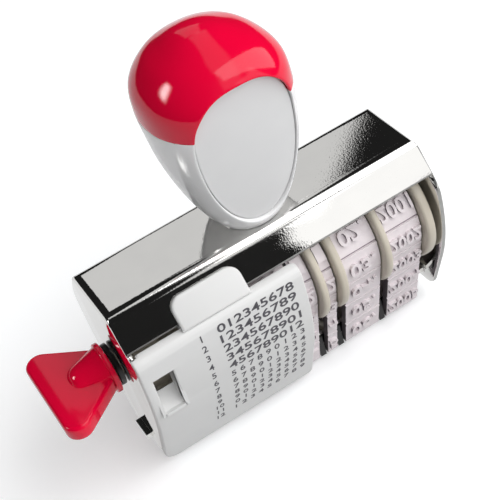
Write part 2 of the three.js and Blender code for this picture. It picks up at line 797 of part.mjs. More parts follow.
// Walls that run inwards round the cover's window
function makeWindowWalls() {
  const outline = [
    [windowStart - windowWall, windowFoot - windowWall],
    [windowEnd + windowWall, windowFoot - windowWall],
    [windowEnd + windowWall, windowTop + windowWall],
    [windowStart - windowWall, windowTop + windowWall],
  ].map(([along, up]) => new THREE.Vector2(along, up));
  const outside = coverWall / 2 - coverReach;
  return solidOf(prismY(outline, outside, outside + coverWall / 2 + windowWallDepth));
}

// The window's opening, with a sill that rises inwards
function makeWindowCut() {
  const outside = -coverReach;
  const inside = outside + coverWall + windowWallDepth;
  const slope = windowSillRise / (inside - outside);
  const section = [
    [outside - cutOverrun, windowFoot - slope * cutOverrun],
    [inside + cutOverrun, windowFoot + windowSillRise + slope * cutOverrun],
    [inside + cutOverrun, windowTop],
    [outside - cutOverrun, windowTop],
  ].map(([across, up]) => new THREE.Vector2(across, up));
  return solidOf(prismX(section, windowStart, windowEnd));
}

// Materials
const finish = (color, roughness, metalness) => ({ color, roughness, metalness });
const chrome = finish(0xc9c9c6, 0.12, 1);
const steel = finish(0xa8a9aa, 0.35, 1);
const redPlastic = finish(0xd0082e, 0.2, 0);
const greyPlastic = finish(0xc4c4c4, 0.3, 0);
const whitePlastic = finish(0xdcdce0, 0.4, 0);
const beigePlastic = finish(0xbbb3a4, 0.5, 0);
const blackPlastic = finish(0x151515, 0.4, 0);
const bandRubber = finish(0xcdc5c8, 0.7, 0);

// Stamp
const stamp = new THREE.Group();

function addPiece(name, solid, looks) {
  const piece = new THREE.Mesh(geometryOf(solid), new THREE.MeshStandardMaterial(looks));
  piece.name = name;
  stamp.add(piece);
}

addPiece('frame_bracket', makeFrame(), chrome);
addPiece('handle_body', makeHandleBody(), greyPlastic);
addPiece('handle_cap', makeHandleCap(), redPlastic);
addPiece('handle_badge', makeHandleBadge(), greyPlastic);
addPiece('handle_screw', makeHandleScrew(), steel);
addPiece('handle_washer', makeHandleWasher(), steel);
addPiece('axle', makeAxle(), steel);
addPiece('phrase_wheel', makePhraseWheel(), beigePlastic);
addPiece('index_drum', makeIndexDrum(), beigePlastic);
addPiece('wing_knob', makeKnob(), redPlastic);
addPiece('knob_washer', makeKnobWasher(), blackPlastic);
addPiece('phrase_band', makeBand(phraseBandStart, phraseBandEnd), bandRubber);
dateWheels.forEach((wheel) => {
  addPiece(`${wheel.name}_wheel`, makeDateWheel(wheel), beigePlastic);
  addPiece(`${wheel.name}_band`, makeBand(wheel.drumStart, wheel.discStart - seatGap), bandRubber);
});
addPiece('spring_washer', makeSpringWasher(), steel);
addPiece('platen_bridge', makeBridge(), chrome);
addPiece('platen_comb', makeComb(), blackPlastic);
addPiece('phrase_cover', makeCover(), whitePlastic);

export default stamp;
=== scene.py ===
# %% [markdown]
# A hand stamp with date and phrase bands. The imported CAD model comes in first: it is the fixed frame
# that every piece below is drawn around. Its box is kept.

# %% The fixed frame
import math

import bmesh
import bpy
from mathutils import Matrix, Vector


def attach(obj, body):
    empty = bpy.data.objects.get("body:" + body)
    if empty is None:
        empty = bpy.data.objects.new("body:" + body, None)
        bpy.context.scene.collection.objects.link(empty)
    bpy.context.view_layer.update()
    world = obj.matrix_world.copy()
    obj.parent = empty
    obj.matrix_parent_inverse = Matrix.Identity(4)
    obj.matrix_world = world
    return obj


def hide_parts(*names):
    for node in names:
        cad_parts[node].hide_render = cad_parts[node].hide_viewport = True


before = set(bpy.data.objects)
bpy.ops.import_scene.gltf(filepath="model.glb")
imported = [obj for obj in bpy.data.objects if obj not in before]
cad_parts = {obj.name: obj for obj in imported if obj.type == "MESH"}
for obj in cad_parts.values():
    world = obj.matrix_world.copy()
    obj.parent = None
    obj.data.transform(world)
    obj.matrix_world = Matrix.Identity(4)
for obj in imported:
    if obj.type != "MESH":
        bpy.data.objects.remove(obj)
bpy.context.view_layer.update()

# %% [markdown]
# The drawing is done in millimetres, because the real stamp's sizes are easiest to read that way.
# A finished drawing is welded, its faces are turned outwards, and only then is it brought to the
# metres of the scene. Doing it in one place keeps every object at the origin, unturned and unscaled.

# %% From a drawing to a piece
MM = 0.001
weld_distance = 0.0005
sharp_angle = math.radians(34)


def join_into(target, drawing):
    """Adds a drawing to another one."""
    held = bpy.data.meshes.new("held")
    drawing.to_mesh(held)
    drawing.free()
    target.from_mesh(held)
    bpy.data.meshes.remove(held)


def scored(drawing, place, direction):
    """Divides every face that a plane crosses, and keeps both sides."""
    bmesh.ops.bisect_plane(drawing, geom=drawing.verts[:] + drawing.edges[:] + drawing.faces[:],
                           dist=weld_distance, plane_co=place, plane_no=direction)


def agree(drawing):
    """Turns faces so that neighbours look the same way, in most drawings outwards."""
    bmesh.ops.recalc_face_normals(drawing, faces=drawing.faces[:])


def volume_under(face):
    """Six times the volume between a face and the origin, negative if the face looks inwards."""
    first, *others = [corner.co for corner in face.verts]
    return sum(first.dot(second.cross(third)) for second, third in zip(others, others[1:]))


def turn_outwards(drawing):
    """Turns every closed shell's faces outwards. A bent sheet's are told by the sign of its volume."""
    agree(drawing)
    waiting = set(drawing.faces)
    while waiting:
        shell = [waiting.pop()]
        for face in shell:
            beside = {other for edge in face.edges for other in edge.link_faces} & waiting
            waiting -= beside
            shell += beside
        if sum(volume_under(face) for face in shell) < 0:
            bmesh.ops.reverse_faces(drawing, faces=shell)


def finish_piece(drawing, name, body, looks, replaced=()):
    """Turns a closed drawing into a piece that rides on a body of the CAD model."""
    bmesh.ops.remove_doubles(drawing, verts=drawing.verts[:], dist=weld_distance)
    turn_outwards(drawing)
    bmesh.ops.scale(drawing, vec=Vector((MM, MM, MM)), verts=drawing.verts[:])
    mesh = bpy.data.meshes.new(name)
    drawing.to_mesh(mesh)
    drawing.free()
    mesh.shade_smooth()
    mesh.set_sharp_from_angle(angle=sharp_angle)
    for look in looks:
        mesh.materials.append(look)
    piece = bpy.data.objects.new(name, mesh)
    bpy.context.collection.objects.link(piece)
    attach(piece, body)
    if replaced:
        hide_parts(*replaced)
    print(name, len(mesh.polygons), "faces")


# %% [markdown]
# Sheet metal and mouldings have few truly sharp corners. An outline is therefore given as corners with
# a radius each, and the round stretches are worked out here. A bevel could do the same for a single
# radius, but one outline of this stamp needs several.

# %% Outlines with rounded corners
arc_step = math.radians(12)
least_arc_steps = 2
sharp_corner = math.radians(40)


def rounded(corners, closed=True):
    """Points of an outline whose corners are given as (across, up, radius)."""
    points = []
    for i, (across, up, radius) in enumerate(corners):
        corner = Vector((across, up))
        at_end = not closed and i in (0, len(corners) - 1)
        if radius == 0 or at_end:
            points.append(corner)
            continue
        before = (Vector(corners[i - 1][:2]) - corner).normalized()
        after = (Vector(corners[(i + 1) % len(corners)][:2]) - corner).normalized()
        opening = before.angle(after)
        turn = math.pi - opening
        centre = corner + (before + after).normalized() * radius / math.sin(opening / 2)
        spoke = corner + before * radius / math.tan(opening / 2) - centre
        sense = -math.copysign(1, before.x * after.y - before.y * after.x)
        steps = max(least_arc_steps, math.ceil(turn / arc_step))
        for step in range(steps + 1):
            points.append(centre + Matrix.Rotation(sense * turn * step / steps, 2) @ spoke)
    return points


def outline_face(drawing, points, place):
    """One flat face from an outline, each point put in space by a function of its two numbers."""
    corners = [drawing.verts.new(place(point.x, point.y)) for point in points]
    return drawing.faces.new(corners)


def extruded(drawing, faces, shift):
    """Gives faces thickness by moving a copy of them, and returns the copy's corners."""
    made = bmesh.ops.extrude_face_region(drawing, geom=faces)["geom"]
    moved = [part for part in made if isinstance(part, bmesh.types.BMVert)]
    bmesh.ops.translate(drawing, vec=Vector(shift), verts=moved)
    return moved


def softened(drawing, edges, radius, steps=3):
    """Rounds some edges."""
    bmesh.ops.bevel(drawing, geom=list(edges), offset=radius, offset_type="OFFSET", segments=steps,
                    profile=0.5, affect="EDGES", material=-1)


def sharp_edges(drawing, least=sharp_corner):
    """The edges at which two faces meet at more than an angle."""
    drawing.normal_update()
    return [edge for edge in drawing.edges
            if len(edge.link_faces) == 2 and edge.calc_face_angle() > least]


print("round corners are drawn in steps of", round(math.degrees(arc_step)), "degrees or less")


# %% [markdown]
# Shader nodes are easier to follow as sums. A small class holds one socket and answers to the usual
# signs, so that `1 - mask` or `height * 2` adds the Math nodes by itself. Every other kind of node
# comes from one method, which sets the node up first and then joins its sockets.

# %% Shader maths
class Wire:
    """The output of a shader node, ready for sums."""

    def __init__(self, look, socket):
        self.look = look
        self.socket = socket

    def maths(self, operation, first, second):
        return self.look.node("ShaderNodeMath", {"operation": operation}, {0: first, 1: second})

    def __add__(self, other):
        return self.maths("ADD", self, other)

    def __sub__(self, other):
        return self.maths("SUBTRACT", self, other)

    def __rsub__(self, other):
        return self.maths("SUBTRACT", other, self)

    def __mul__(self, other):
        return self.maths("MULTIPLY", self, other)

    __radd__ = __add__
    __rmul__ = __mul__


class Look:
    """A material, or the world, while its nodes are being joined."""

    def __init__(self, owner):
        owner.use_nodes = True
        self.owner = owner
        self.tree = owner.node_tree
        self.tree.nodes.clear()

    def node(self, kind, settings, sockets, output=0):
        """Adds a node, sets it up, joins or fills its sockets, and gives back one of its outputs."""
        made = self.tree.nodes.new(kind)
        for name, value in settings.items():
            setattr(made, name, value)
        for key, value in sockets.items():
            if isinstance(value, Wire):
                self.tree.links.new(value.socket, made.inputs[key])
            else:
                made.inputs[key].default_value = value
        return Wire(self, made.outputs[output]) if made.outputs else None


brightest = 255


def linear(red, green, blue):
    """A colour as it is seen on screen, turned by the sRGB curve into the numbers that light needs."""
    shares = [value / brightest for value in (red, green, blue)]
    curve = [share / 12.92 if share <= 0.04045 else ((share + 0.055) / 1.055) ** 2.4 for share in shares]
    return (*curve, 1)


white = linear(brightest, brightest, brightest)
print("white is", white)


# %% [markdown]
# Every finish on this stamp is built in the same way: a colour that wanders a little, a gloss that
# wanders a little, and a fine relief. Only the amounts differ: patch, grain and relief are sizes in
# millimetres. Noise on object coordinates does all of this without a picture, and it stays in place
# when the stamp is turned or a wheel is moved.

# %% One recipe for all finishes
def noise(look, size, detail=2.0):
    """Noise whose spots are about as wide as a size in millimetres."""
    place = look.node("ShaderNodeTexCoord", {}, {}, "Object")
    return look.node("ShaderNodeTexNoise", {}, {"Vector": place, "Scale": 1 / (size * MM), "Detail": detail},
                     "Fac")


def finish_look(name, colour, shade, gloss, patch, patch_gloss=0.04, grain=0.25, relief=0.002, metal=0.0,
                mirror=0.5):
    """A finish: two colours mixed in patches, a roughness that varies with them, and a fine relief."""
    look = Look(bpy.data.materials.new(name))
    patches = noise(look, patch)
    mixed = look.node("ShaderNodeMix", {"data_type": "RGBA"}, {0: patches, 6: colour, 7: shade}, 2)
    height = noise(look, grain)
    bump = look.node("ShaderNodeBump", {}, {"Height": height, "Distance": relief * MM, "Strength": 1.0})
    surface = look.node("ShaderNodeBsdfPrincipled", {}, {
        "Base Color": mixed,
        "Roughness": gloss + (patches - 0.5) * patch_gloss,
        "Metallic": metal,
        "Normal": bump,
        "Specular IOR Level": mirror,
    })
    look.node("ShaderNodeOutputMaterial", {}, {"Surface": surface})
    return look.owner


chrome = finish_look("chrome", linear(229, 228, 225), linear(222, 221, 219), gloss=0.03, patch=6,
                     patch_gloss=0.01, grain=0.42, relief=0.011, metal=1.0)
steel = finish_look("steel", linear(206, 206, 208), linear(188, 188, 190), gloss=0.3, patch=1.5,
                    grain=0.12, relief=0.01, metal=1.0)
red_plastic = finish_look("red_plastic", linear(218, 2, 52), linear(212, 2, 48), gloss=0.09, patch=9,
                          patch_gloss=0.02, grain=2.5, relief=0.01, mirror=0.37)
grey_plastic = finish_look("grey_plastic", linear(234, 234, 234), linear(229, 229, 230), gloss=0.14,
                           patch=9, grain=2.5, relief=0.01)
badge_plastic = finish_look("badge_plastic", linear(217, 217, 217), linear(212, 212, 213), gloss=0.32,
                            patch=6, grain=0.3, relief=0.004)
white_plastic = finish_look("white_plastic", linear(211, 211, 210), linear(206, 206, 206), gloss=0.34,
                            patch=8, grain=0.35, relief=0.004)
print_ink = finish_look("print_ink", linear(62, 60, 66), linear(84, 82, 88), gloss=0.5, patch=0.6,
                        grain=0.2, relief=0.004)
beige_plastic = finish_look("beige_plastic", linear(200, 192, 178), linear(188, 180, 165), gloss=0.38,
                            patch=5, grain=0.4, relief=0.006)
black_plastic = finish_look("black_plastic", linear(26, 25, 25), linear(16, 15, 15), gloss=0.32, patch=2,
                            grain=0.3, relief=0.006)
band_rubber = finish_look("band_rubber", linear(231, 223, 225), linear(214, 205, 209), gloss=0.5,
                          patch=1.6, patch_gloss=0.2, grain=0.35, relief=0.02)
# A darker rubber: real ink stain in the bands' grooves, and painted shade on the flanks of the type.
ink_stain_and_shade_rubber = finish_look("ink_stain_and_shade_rubber", linear(156, 146, 153), linear(120, 110, 118), gloss=0.55,
                             patch=0.9, patch_gloss=0.2, grain=0.35, relief=0.02)
# A darker, rougher metal for the faces of the flanges' lower rim, which draws a dark line along it.
darker_rim_metal = finish_look("darker_rim_metal", linear(186, 186, 184), linear(160, 160, 158), gloss=0.45, patch=0.8,
                       grain=0.2, relief=0.01, metal=1.0)
# Painted shade: a dark rubber for the bands' sides, which lie in shadow between the wheels.
painted_shade_rubber = finish_look("painted_shade_rubber", linear(104, 96, 100), linear(84, 76, 80), gloss=0.6, patch=1.6,
                          grain=0.35, relief=0.02)
print("finishes", [material.name for material in bpy.data.materials])

# %% [markdown]
# The sizes that several pieces share come next, as they are in the CAD source: where the axle runs,
# how long and high the frame is, and how far the bands reach out.

# %% Sizes that pieces share
frame_length = 80
frame_height = 52
half_length = frame_length / 2
sheet = 1.2
seat_gap = 0.3
axle_height = 31.3
band_radius = 13.9
drum_radius = 11.1
bore_radius = 1.8
axle_point = Vector((0, 0, axle_height))
along_axle = Vector((1, 0, 0))
print("frame", frame_length, "x", frame_height, "mm, axle", axle_height, "mm over the paper")

# %% [markdown]
# The frame is a bent strip of chromed sheet: a flat top, two sloping flanges and an end plate folded
# down at each end. It could be cut from a solid, but the real one is a sheet, so the drawing starts
# from the outline of one end plate, pulls it out to the frame's length and throws away the long faces
# under the flanges. Rounding the folds and then giving the skin its thickness keeps the wall even.

# %% The outline of the end plates
top_half = 9.2
flange_half = 14.45
flange_foot = 44.9
bend_radius = 2
plate_half_depth = 16.4
plate_shoulder = 41
plate_shoulder_round = 5
plate_foot = 4.1
plate_foot_round = 4
cover_reach = 18.2
cover_bend_top = 38
cover_bend_radius = 52
cover_bend_angle = math.radians(24)
bend_steps = 8


def cover_face(inset, foot):
    """The bent front of the cover drawn in by an inset, as points (y, z) from a foot's height up."""
    radius = cover_bend_radius - inset
    centre = Vector((cover_bend_radius - cover_reach, cover_bend_top))
    bent = [centre - radius * Vector((math.cos(angle), math.sin(angle)))
            for angle in (cover_bend_angle * (bend_steps - step) / bend_steps
                          for step in range(bend_steps + 1))]
    run = (bent[0].y - foot) * math.tan(cover_bend_angle)
    return [Vector((bent[0].x + run, foot)), *bent]


def plate_outline():
    """Corners of an end plate from its foot at the back round to its foot at the front."""
    lowest, *rising = cover_face(cover_reach - plate_half_depth, plate_foot)
    back = [(-lowest.x, lowest.y, plate_foot_round)]
    back += [(-point.x, point.y, 0) for point in rising]
    back += [(plate_half_depth, plate_shoulder, plate_shoulder_round), (flange_half, flange_foot, 0),
             (top_half, frame_height, 0)]
    front = [(-y, z, radius) for y, z, radius in reversed(back)]
    return rounded(back + front)


print("end plate", 2 * plate_half_depth, "mm wide, drawn with", len(plate_outline()), "points")

# %% The frame's sheet
slot_half = 3.3
slot_foot = 7.2
slot_top = 9
fold_steps = 7
flange_seam_round = 0.5
rim_angle = math.radians(60)
sheet_rim_round = 0.4
half_way = 0.5
straight_on = 0.9
hardly = 0.01


def looks_along(face):
    """True for a face that looks along the frame, and not for the long ones between the end plates."""
    return abs(face.normal.x) > half_way


def under_flanges(face):
    """True for the long faces that the real sheet doesn't have."""
    return not looks_along(face) and face.calc_center_median().z < flange_foot


def is_seam(edge):
    """True where an end plate meets a long face."""
    shares = sorted(abs(face.normal.x) for face in edge.link_faces)
    return len(shares) == 2 and shares[0] < hardly and shares[1] > 1 - hardly


def lies_in_top(edge):
    """True for a fold of the top plate, which has a face on either side."""
    level = all(abs(corner.co.z - frame_height) < weld_distance for corner in edge.verts)
    return level and len(edge.link_faces) == 2


def cut_slot(drawing, side):
    """Cuts the slot of the platen bridge in one end plate."""
    for place, direction in (((0, 0, slot_foot), (0, 0, 1)), ((0, 0, slot_top), (0, 0, 1)),
                             ((0, -slot_half, 0), (0, 1, 0)), ((0, slot_half, 0), (0, 1, 0))):
        plate = [face for face in drawing.faces if face.normal.x * side > straight_on]
        parts = {part for face in plate for part in (face, *face.edges, *face.verts)}
        bmesh.ops.bisect_plane(drawing, geom=list(parts), dist=weld_distance, plane_co=place,
                               plane_no=direction)
    drawing.normal_update()
    inside = [face for face in drawing.faces if face.normal.x * side > straight_on
              and slot_foot < face.calc_center_median().z < slot_top
              and abs(face.calc_center_median().y) < slot_half]
    bmesh.ops.delete(drawing, geom=inside, context="FACES")


sheet_drawing = bmesh.new()
plate = outline_face(sheet_drawing, plate_outline(), lambda y, z: (-half_length, y, z))
extruded(sheet_drawing, [plate], (frame_length, 0, 0))
sheet_drawing.normal_update()
agree(sheet_drawing)
bmesh.ops.delete(sheet_drawing, geom=[face for face in sheet_drawing.faces if under_flanges(face)],
                 context="FACES")
top_folds = [edge for edge in sheet_drawing.edges if lies_in_top(edge)]
softened(sheet_drawing, top_folds, bend_radius, fold_steps)
sheet_drawing.normal_update()
flange_seams = [edge for edge in sheet_drawing.edges if is_seam(edge)]
softened(sheet_drawing, flange_seams, flange_seam_round)
for side in (-1, 1):
    cut_slot(sheet_drawing, side)
agree(sheet_drawing)
bmesh.ops.solidify(sheet_drawing, geom=sheet_drawing.faces[:], thickness=sheet)
softened(sheet_drawing, sharp_edges(sheet_drawing, rim_angle), sheet_rim_round, 2)
sheet_drawing.normal_update()
# The faces of the flanges' lower rim get the darker, rougher metal, a dark line along the flange's edge.
for face in sheet_drawing.faces:
    low = face.calc_center_median().z < flange_foot + sheet_rim_round
    rim = not looks_along(face) and face.normal.z < half_way
    face.material_index = int(low and rim)
finish_piece(sheet_drawing, "frame_sheet", "frame", [chrome, darker_rim_metal], ["frame_bracket"])

# %% [markdown]
# The handle is a pear that is moulded in two colours, with an egg-shaped badge let into its flat
# front. A boolean would leave torn shading round the badge, so the mesh is laid out for it instead: a
# sphere is turned until one pole lies in the middle of the badge, its first rings become the badge's
# seat, the next one the rim, and all others are thrown outwards onto the pear.

# %% The pear's surface
handle_along = 0.8
handle_height = 47.4
head_width = 32.4
head_depth = 34.6
pear_shares = [(0, 0.46), (0.05, 0.56), (0.16, 0.715), (0.3, 0.845), (0.44, 0.935), (0.58, 0.98),
               (0.68, 1), (0.79, 0.955), (0.89, 0.735), (0.95, 0.465), (0.985, 0.235), (1, 0)]
pear_power = 2.2
knot_steps = 24
foot_narrowing = 2
least_share = 0.02


def pear_profile():
    """Heights and widths along a smooth line through the pear's sections."""
    knots = [Vector(knot) for knot in pear_shares]
    knots = [2 * knots[0] - knots[1], *knots, 2 * knots[-1] - knots[-2]]
    line = []
    for before, start, end, after in zip(knots, knots[1:], knots[2:], knots[3:]):
        for step in range(knot_steps):
            t = step / knot_steps
            line.append((2 * start + (end - before) * t + (2 * before - 5 * start + 4 * end - after) * t * t
                         + (3 * start - before - 3 * end + after) * t ** 3) / 2)
    return [*line, knots[-2]]


profile = pear_profile()


def width_share(up):
    """How wide the pear is at a height over the frame, as a share of its widest."""
    share = up / handle_height
    if share <= 0:
        return max(profile[0].y * (1 + foot_narrowing * share), least_share)
    for low, high in zip(profile, profile[1:]):
        if high.x > share:
            return low.y + (high.y - low.y) * (share - low.x) / (high.x - low.x)
    return 0


def inside_pear(point):
    """True for a point inside the pear."""
    share = width_share(point.z - frame_height)
    if share <= 0 or point.z > frame_height + handle_height:
        return False
    across = abs(point.x - handle_along) / (share * head_width / 2)
    deep = abs(point.y) / (share * head_depth / 2)
    return across ** pear_power + deep ** pear_power < 1


halvings = 22
far_off = 60


def on_pear(start, direction):
    """Where a line from a point inside the pear leaves it."""
    near, far = 0, far_off
    for _ in range(halvings):
        middle = (near + far) / 2
        if inside_pear(start + direction * middle):
            near = middle
        else:
            far = middle
    return start + direction * near


print("pear profile of", len(profile), "points")

# %% The badge's outline
badge_middle = Vector((handle_along, -11.7, 78.7))
badge_lean = math.radians(6.8)
badge_across = Vector((1, 0, 0))
badge_up = Vector((0, -math.sin(badge_lean), math.cos(badge_lean)))
badge_out = Vector((0, -math.cos(badge_lean), -math.sin(badge_lean)))
badge_half_width = 11.4
badge_rise = 13.2
badge_drop = 24
badge_top_power = 2.5
badge_foot_power = 2
badge_thickness = 1.6
badge_seat = badge_thickness + seat_gap
seat_clearance = 0.12


def egg(angle, growth, out):
    """A point on the badge's outline grown all round, a distance out from its face."""
    upper = math.sin(angle) > 0
    ease = 2 / (badge_top_power if upper else badge_foot_power)
    across = math.copysign(abs(math.cos(angle)) ** ease, math.cos(angle))
    up = math.copysign(abs(math.sin(angle)) ** ease, math.sin(angle))
    reach = (badge_rise if upper else badge_drop) + growth
    return (badge_middle + badge_across * across * (badge_half_width + growth) + badge_up * up * reach
            + badge_out * out)


print("badge", 2 * badge_half_width, "x", badge_rise + badge_drop, "mm")

# %% The pear with its seat
pear_sides = 128
pear_rings = 84
seat_rings = 6
pear_core = Vector((handle_along, 2.5, 77))
pear_back = Vector((0, 1, 0.12)).normalized()
rim_round = 0.9
rim_steps = 6
first_rim_ring = seat_rings + 1
last_rim_ring = first_rim_ring + rim_steps
seat_middle = badge_middle - badge_out * badge_seat


def pear_point(sphere_point):
    """Where a vertex of the unit sphere goes on the pear."""
    ring = round(math.acos(max(-1, min(1, sphere_point.z))) / math.pi * pear_rings)
    seat = egg(math.atan2(sphere_point.y, sphere_point.x), seat_clearance, -badge_seat)
    if ring <= seat_rings:
        return seat_middle.lerp(seat, ring / seat_rings)
    if ring == pear_rings:
        return on_pear(pear_core, pear_back)
    rim = on_pear(seat, badge_out)
    outwards = (rim - pear_core).normalized()
    begin = rim_round / (rim - pear_core).length / outwards.angle(pear_back)
    if ring > last_rim_ring:
        share = (ring - last_rim_ring) / (pear_rings - last_rim_ring)
        return on_pear(pear_core, outwards.slerp(pear_back, begin + (1 - begin) * share))
    share = (ring - first_rim_ring) / rim_steps
    low = rim - badge_out * min(rim_round, (rim - seat).length / 2)
    high = on_pear(pear_core, outwards.slerp(pear_back, begin))
    return low.lerp(rim, share).lerp(rim.lerp(high, share), share)


pear_drawing = bmesh.new()
bmesh.ops.create_uvsphere(pear_drawing, u_segments=pear_sides, v_segments=pear_rings, radius=1)
for corner in pear_drawing.verts:
    corner.co = pear_point(corner.co)
print("pear of", len(pear_drawing.faces), "faces")

# %% [markdown]
# The same pear gives both halves of the handle. A copy is cut at the parting line for the red cap, the
# other keeps what lies between the frame and the parting line, and each cut is closed with one face.
# A tiny round on the cut edges draws the fine line that shows where two mouldings meet.

# %% Body and cap
parting_height = frame_height + 31.4
parting_round = 0.12


def cut_flat(drawing, height, keep_above):
    """Cuts a drawing at a height, closes the cut and rounds its edge."""
    everything = drawing.verts[:] + drawing.edges[:] + drawing.faces[:]
    cut = bmesh.ops.bisect_plane(drawing, geom=everything, dist=weld_distance, plane_co=(0, 0, height),
                                 plane_no=(0, 0, 1), clear_inner=keep_above, clear_outer=not keep_above)
    rim = [part for part in cut["geom_cut"] if isinstance(part, bmesh.types.BMEdge)]
    closed = bmesh.ops.contextual_create(drawing, geom=rim)["faces"]
    softened(drawing, {edge for face in closed for edge in face.edges}, parting_round, 2)


cap_drawing = pear_drawing.copy()
cut_flat(cap_drawing, parting_height, keep_above=True)
cut_flat(pear_drawing, parting_height, keep_above=False)
cut_flat(pear_drawing, frame_height, keep_above=True)
finish_piece(cap_drawing, "handle_cap_skin", "frame", [red_plastic], ["handle_cap"])
finish_piece(pear_drawing, "handle_body_skin", "frame", [grey_plastic], ["handle_body"])

# %% [markdown]
# The badge is a thin egg-shaped plate that lies in its seat. It uses the outline that shaped the seat,
# only without the clearance, so the gap between the two is even all round.

# %% The badge
badge_sides = 128
badge_round = 0.35
badge_drawing = bmesh.new()
badge_corners = [badge_drawing.verts.new(egg(2 * math.pi * side / badge_sides, 0, -badge_thickness))
                 for side in range(badge_sides)]
badge_face = badge_drawing.faces.new(badge_corners)
badge_front = extruded(badge_drawing, [badge_face], badge_out * badge_thickness)
softened(badge_drawing, [edge for edge in badge_drawing.edges
                         if all(corner in badge_front for corner in edge.verts)], badge_round)
finish_piece(badge_drawing, "badge_plate", "frame", [badge_plastic], ["handle_badge"])

# %% [markdown]
# Wheels, drums, washers and the axle are bodies of revolution. Each starts as a profile, a few corners
# with a radius each, and a full spin round the axle closes it.

# %% Turned pieces
spin_steps = 96


def turned(drawing, corners, closed=True):
    """Adds a body turned round the axle, from a profile of (along the axle, radius, rounding)."""
    points = rounded(corners, closed)
    chain = [drawing.verts.new((point.x, 0, axle_height + point.y)) for point in points]
    pairs = zip(chain, chain[1:] + chain[:1] if closed else chain[1:])
    sides = [drawing.edges.new(pair) for pair in pairs]
    bmesh.ops.spin(drawing, geom=chain + sides, cent=axle_point, axis=along_axle, angle=2 * math.pi,
                   steps=spin_steps, use_merge=True)


print("a full turn has", spin_steps, "steps")

# %% [markdown]
# A date wheel is one moulding: a hollow drum that carries the band, and beside it the thumb disc with
# its rounded rim. The four differ only in their widths, so one loop makes them all. Each row of the
# list gives where the drum starts, where the disc starts, and how thick the disc is.

# %% Date wheels
disc_radius = 15.7
disc_round = 0.75
drum_round = 0.2
hub_radius = 3.4
drum_wall = 1.5
date_wheels = [("tens", 1.6, 5.7, 1.9), ("units", 7.9, 10.9, 2), ("month", 13.2, 23.4, 1.8),
               ("year", 25.5, 35.1, 2.4)]
for wheel_name, drum_start, disc_start, disc_thickness in date_wheels:
    wheel_drawing = bmesh.new()
    disc_end = disc_start + disc_thickness
    turned(wheel_drawing, [
        (drum_start, bore_radius, 0),
        (drum_start, hub_radius, drum_round),
        (disc_start, hub_radius, 0),
        (disc_start, drum_radius - drum_wall, 0),
        (drum_start, drum_radius - drum_wall, drum_round),
        (drum_start, drum_radius, drum_round),
        (disc_start, drum_radius, 0),
        (disc_start, disc_radius, disc_round),
        (disc_end, disc_radius, disc_round),
        (disc_end, bore_radius, 0),
    ])
    finish_piece(wheel_drawing, f"{wheel_name}_disc", f"{wheel_name}_drive",
                 [beige_plastic], [f"{wheel_name}_wheel"])

# %% [markdown]
# The phrase drum carries the widest band. A thin web in its middle joins it to a long sleeve, which
# runs on the axle and reaches out through the left end plate, where the knob is pushed on.

# %% Phrase drum with its sleeve
phrase_start = -21.7
phrase_end = 0.8
sleeve_radius = 3.2
sleeve_reach = 45
web_half = 0.7
phrase_web = (phrase_start + phrase_end) / 2
phrase_drawing = bmesh.new()
turned(phrase_drawing, [
    (-sleeve_reach, bore_radius, 0),
    (-sleeve_reach, sleeve_radius, drum_round),
    (phrase_web - web_half, sleeve_radius, 0),
    (phrase_web - web_half, drum_radius - drum_wall, 0),
    (phrase_start, drum_radius - drum_wall, drum_round),
    (phrase_start, drum_radius, drum_round),
    (phrase_end, drum_radius, drum_round),
    (phrase_end, drum_radius - drum_wall, drum_round),
    (phrase_web + web_half, drum_radius - drum_wall, 0),
    (phrase_web + web_half, hub_radius, 0),
    (date_wheels[0][1] - seat_gap, hub_radius, 0),
    (date_wheels[0][1] - seat_gap, bore_radius, 0),
])
finish_piece(phrase_drawing, "phrase_drum", "phrase_drive", [beige_plastic],
             ["phrase_wheel"])

# %% [markdown]
# The index drum turns with the phrases and shows one numbered place at a time in the cover's window.
# Between the places stand thin ribs. The drum is spun, and each rib is a small bar with rounded edges
# that is copied round it.

# %% Index drum
index_start = -38.4
index_end = -30.8
index_radius = 10.6
index_places = 12
rib_width = 0.9
rib_height = 0.7
rib_sunk = 0.5
rib_round = 0.2
index_wall = 1.5
index_drawing = bmesh.new()
turned(index_drawing, [
    (index_start, sleeve_radius + seat_gap, 0),
    (index_start, index_radius - rib_height, drum_round),
    (index_end, index_radius - rib_height, drum_round),
    (index_end, index_radius - rib_height - index_wall, drum_round),
    (index_start + index_wall, index_radius - rib_height - index_wall, 0),
    (index_start + index_wall, hub_radius + index_wall, 0),
    (index_end, hub_radius + index_wall, drum_round),
    (index_end, sleeve_radius + seat_gap, 0),
])
for rib in range(index_places):
    rib_drawing = bmesh.new()
    bmesh.ops.create_cube(rib_drawing, size=1)
    bmesh.ops.scale(rib_drawing, verts=rib_drawing.verts[:],
                    vec=Vector((index_end - index_start - 2 * drum_round, rib_width, rib_height + rib_sunk)))
    softened(rib_drawing, rib_drawing.edges[:], rib_round, 2)
    middle = ((index_start + index_end) / 2, 0, axle_height + index_radius - (rib_height + rib_sunk) / 2)
    bmesh.ops.translate(rib_drawing, vec=Vector(middle), verts=rib_drawing.verts[:])
    bmesh.ops.rotate(rib_drawing, cent=axle_point, verts=rib_drawing.verts[:],
                     matrix=Matrix.Rotation(2 * math.pi * rib / index_places, 3, "X"))
    join_into(index_drawing, rib_drawing)
finish_piece(index_drawing, "index_ring", "phrase_drive", [beige_plastic],
             ["index_drum"])

# %% [markdown]
# The axle is a steel rod with a formed head outside the right end plate. Its profile begins and ends
# on the axis, so it is left open and the spin closes it. The black washer keeps the knob off the sheet.

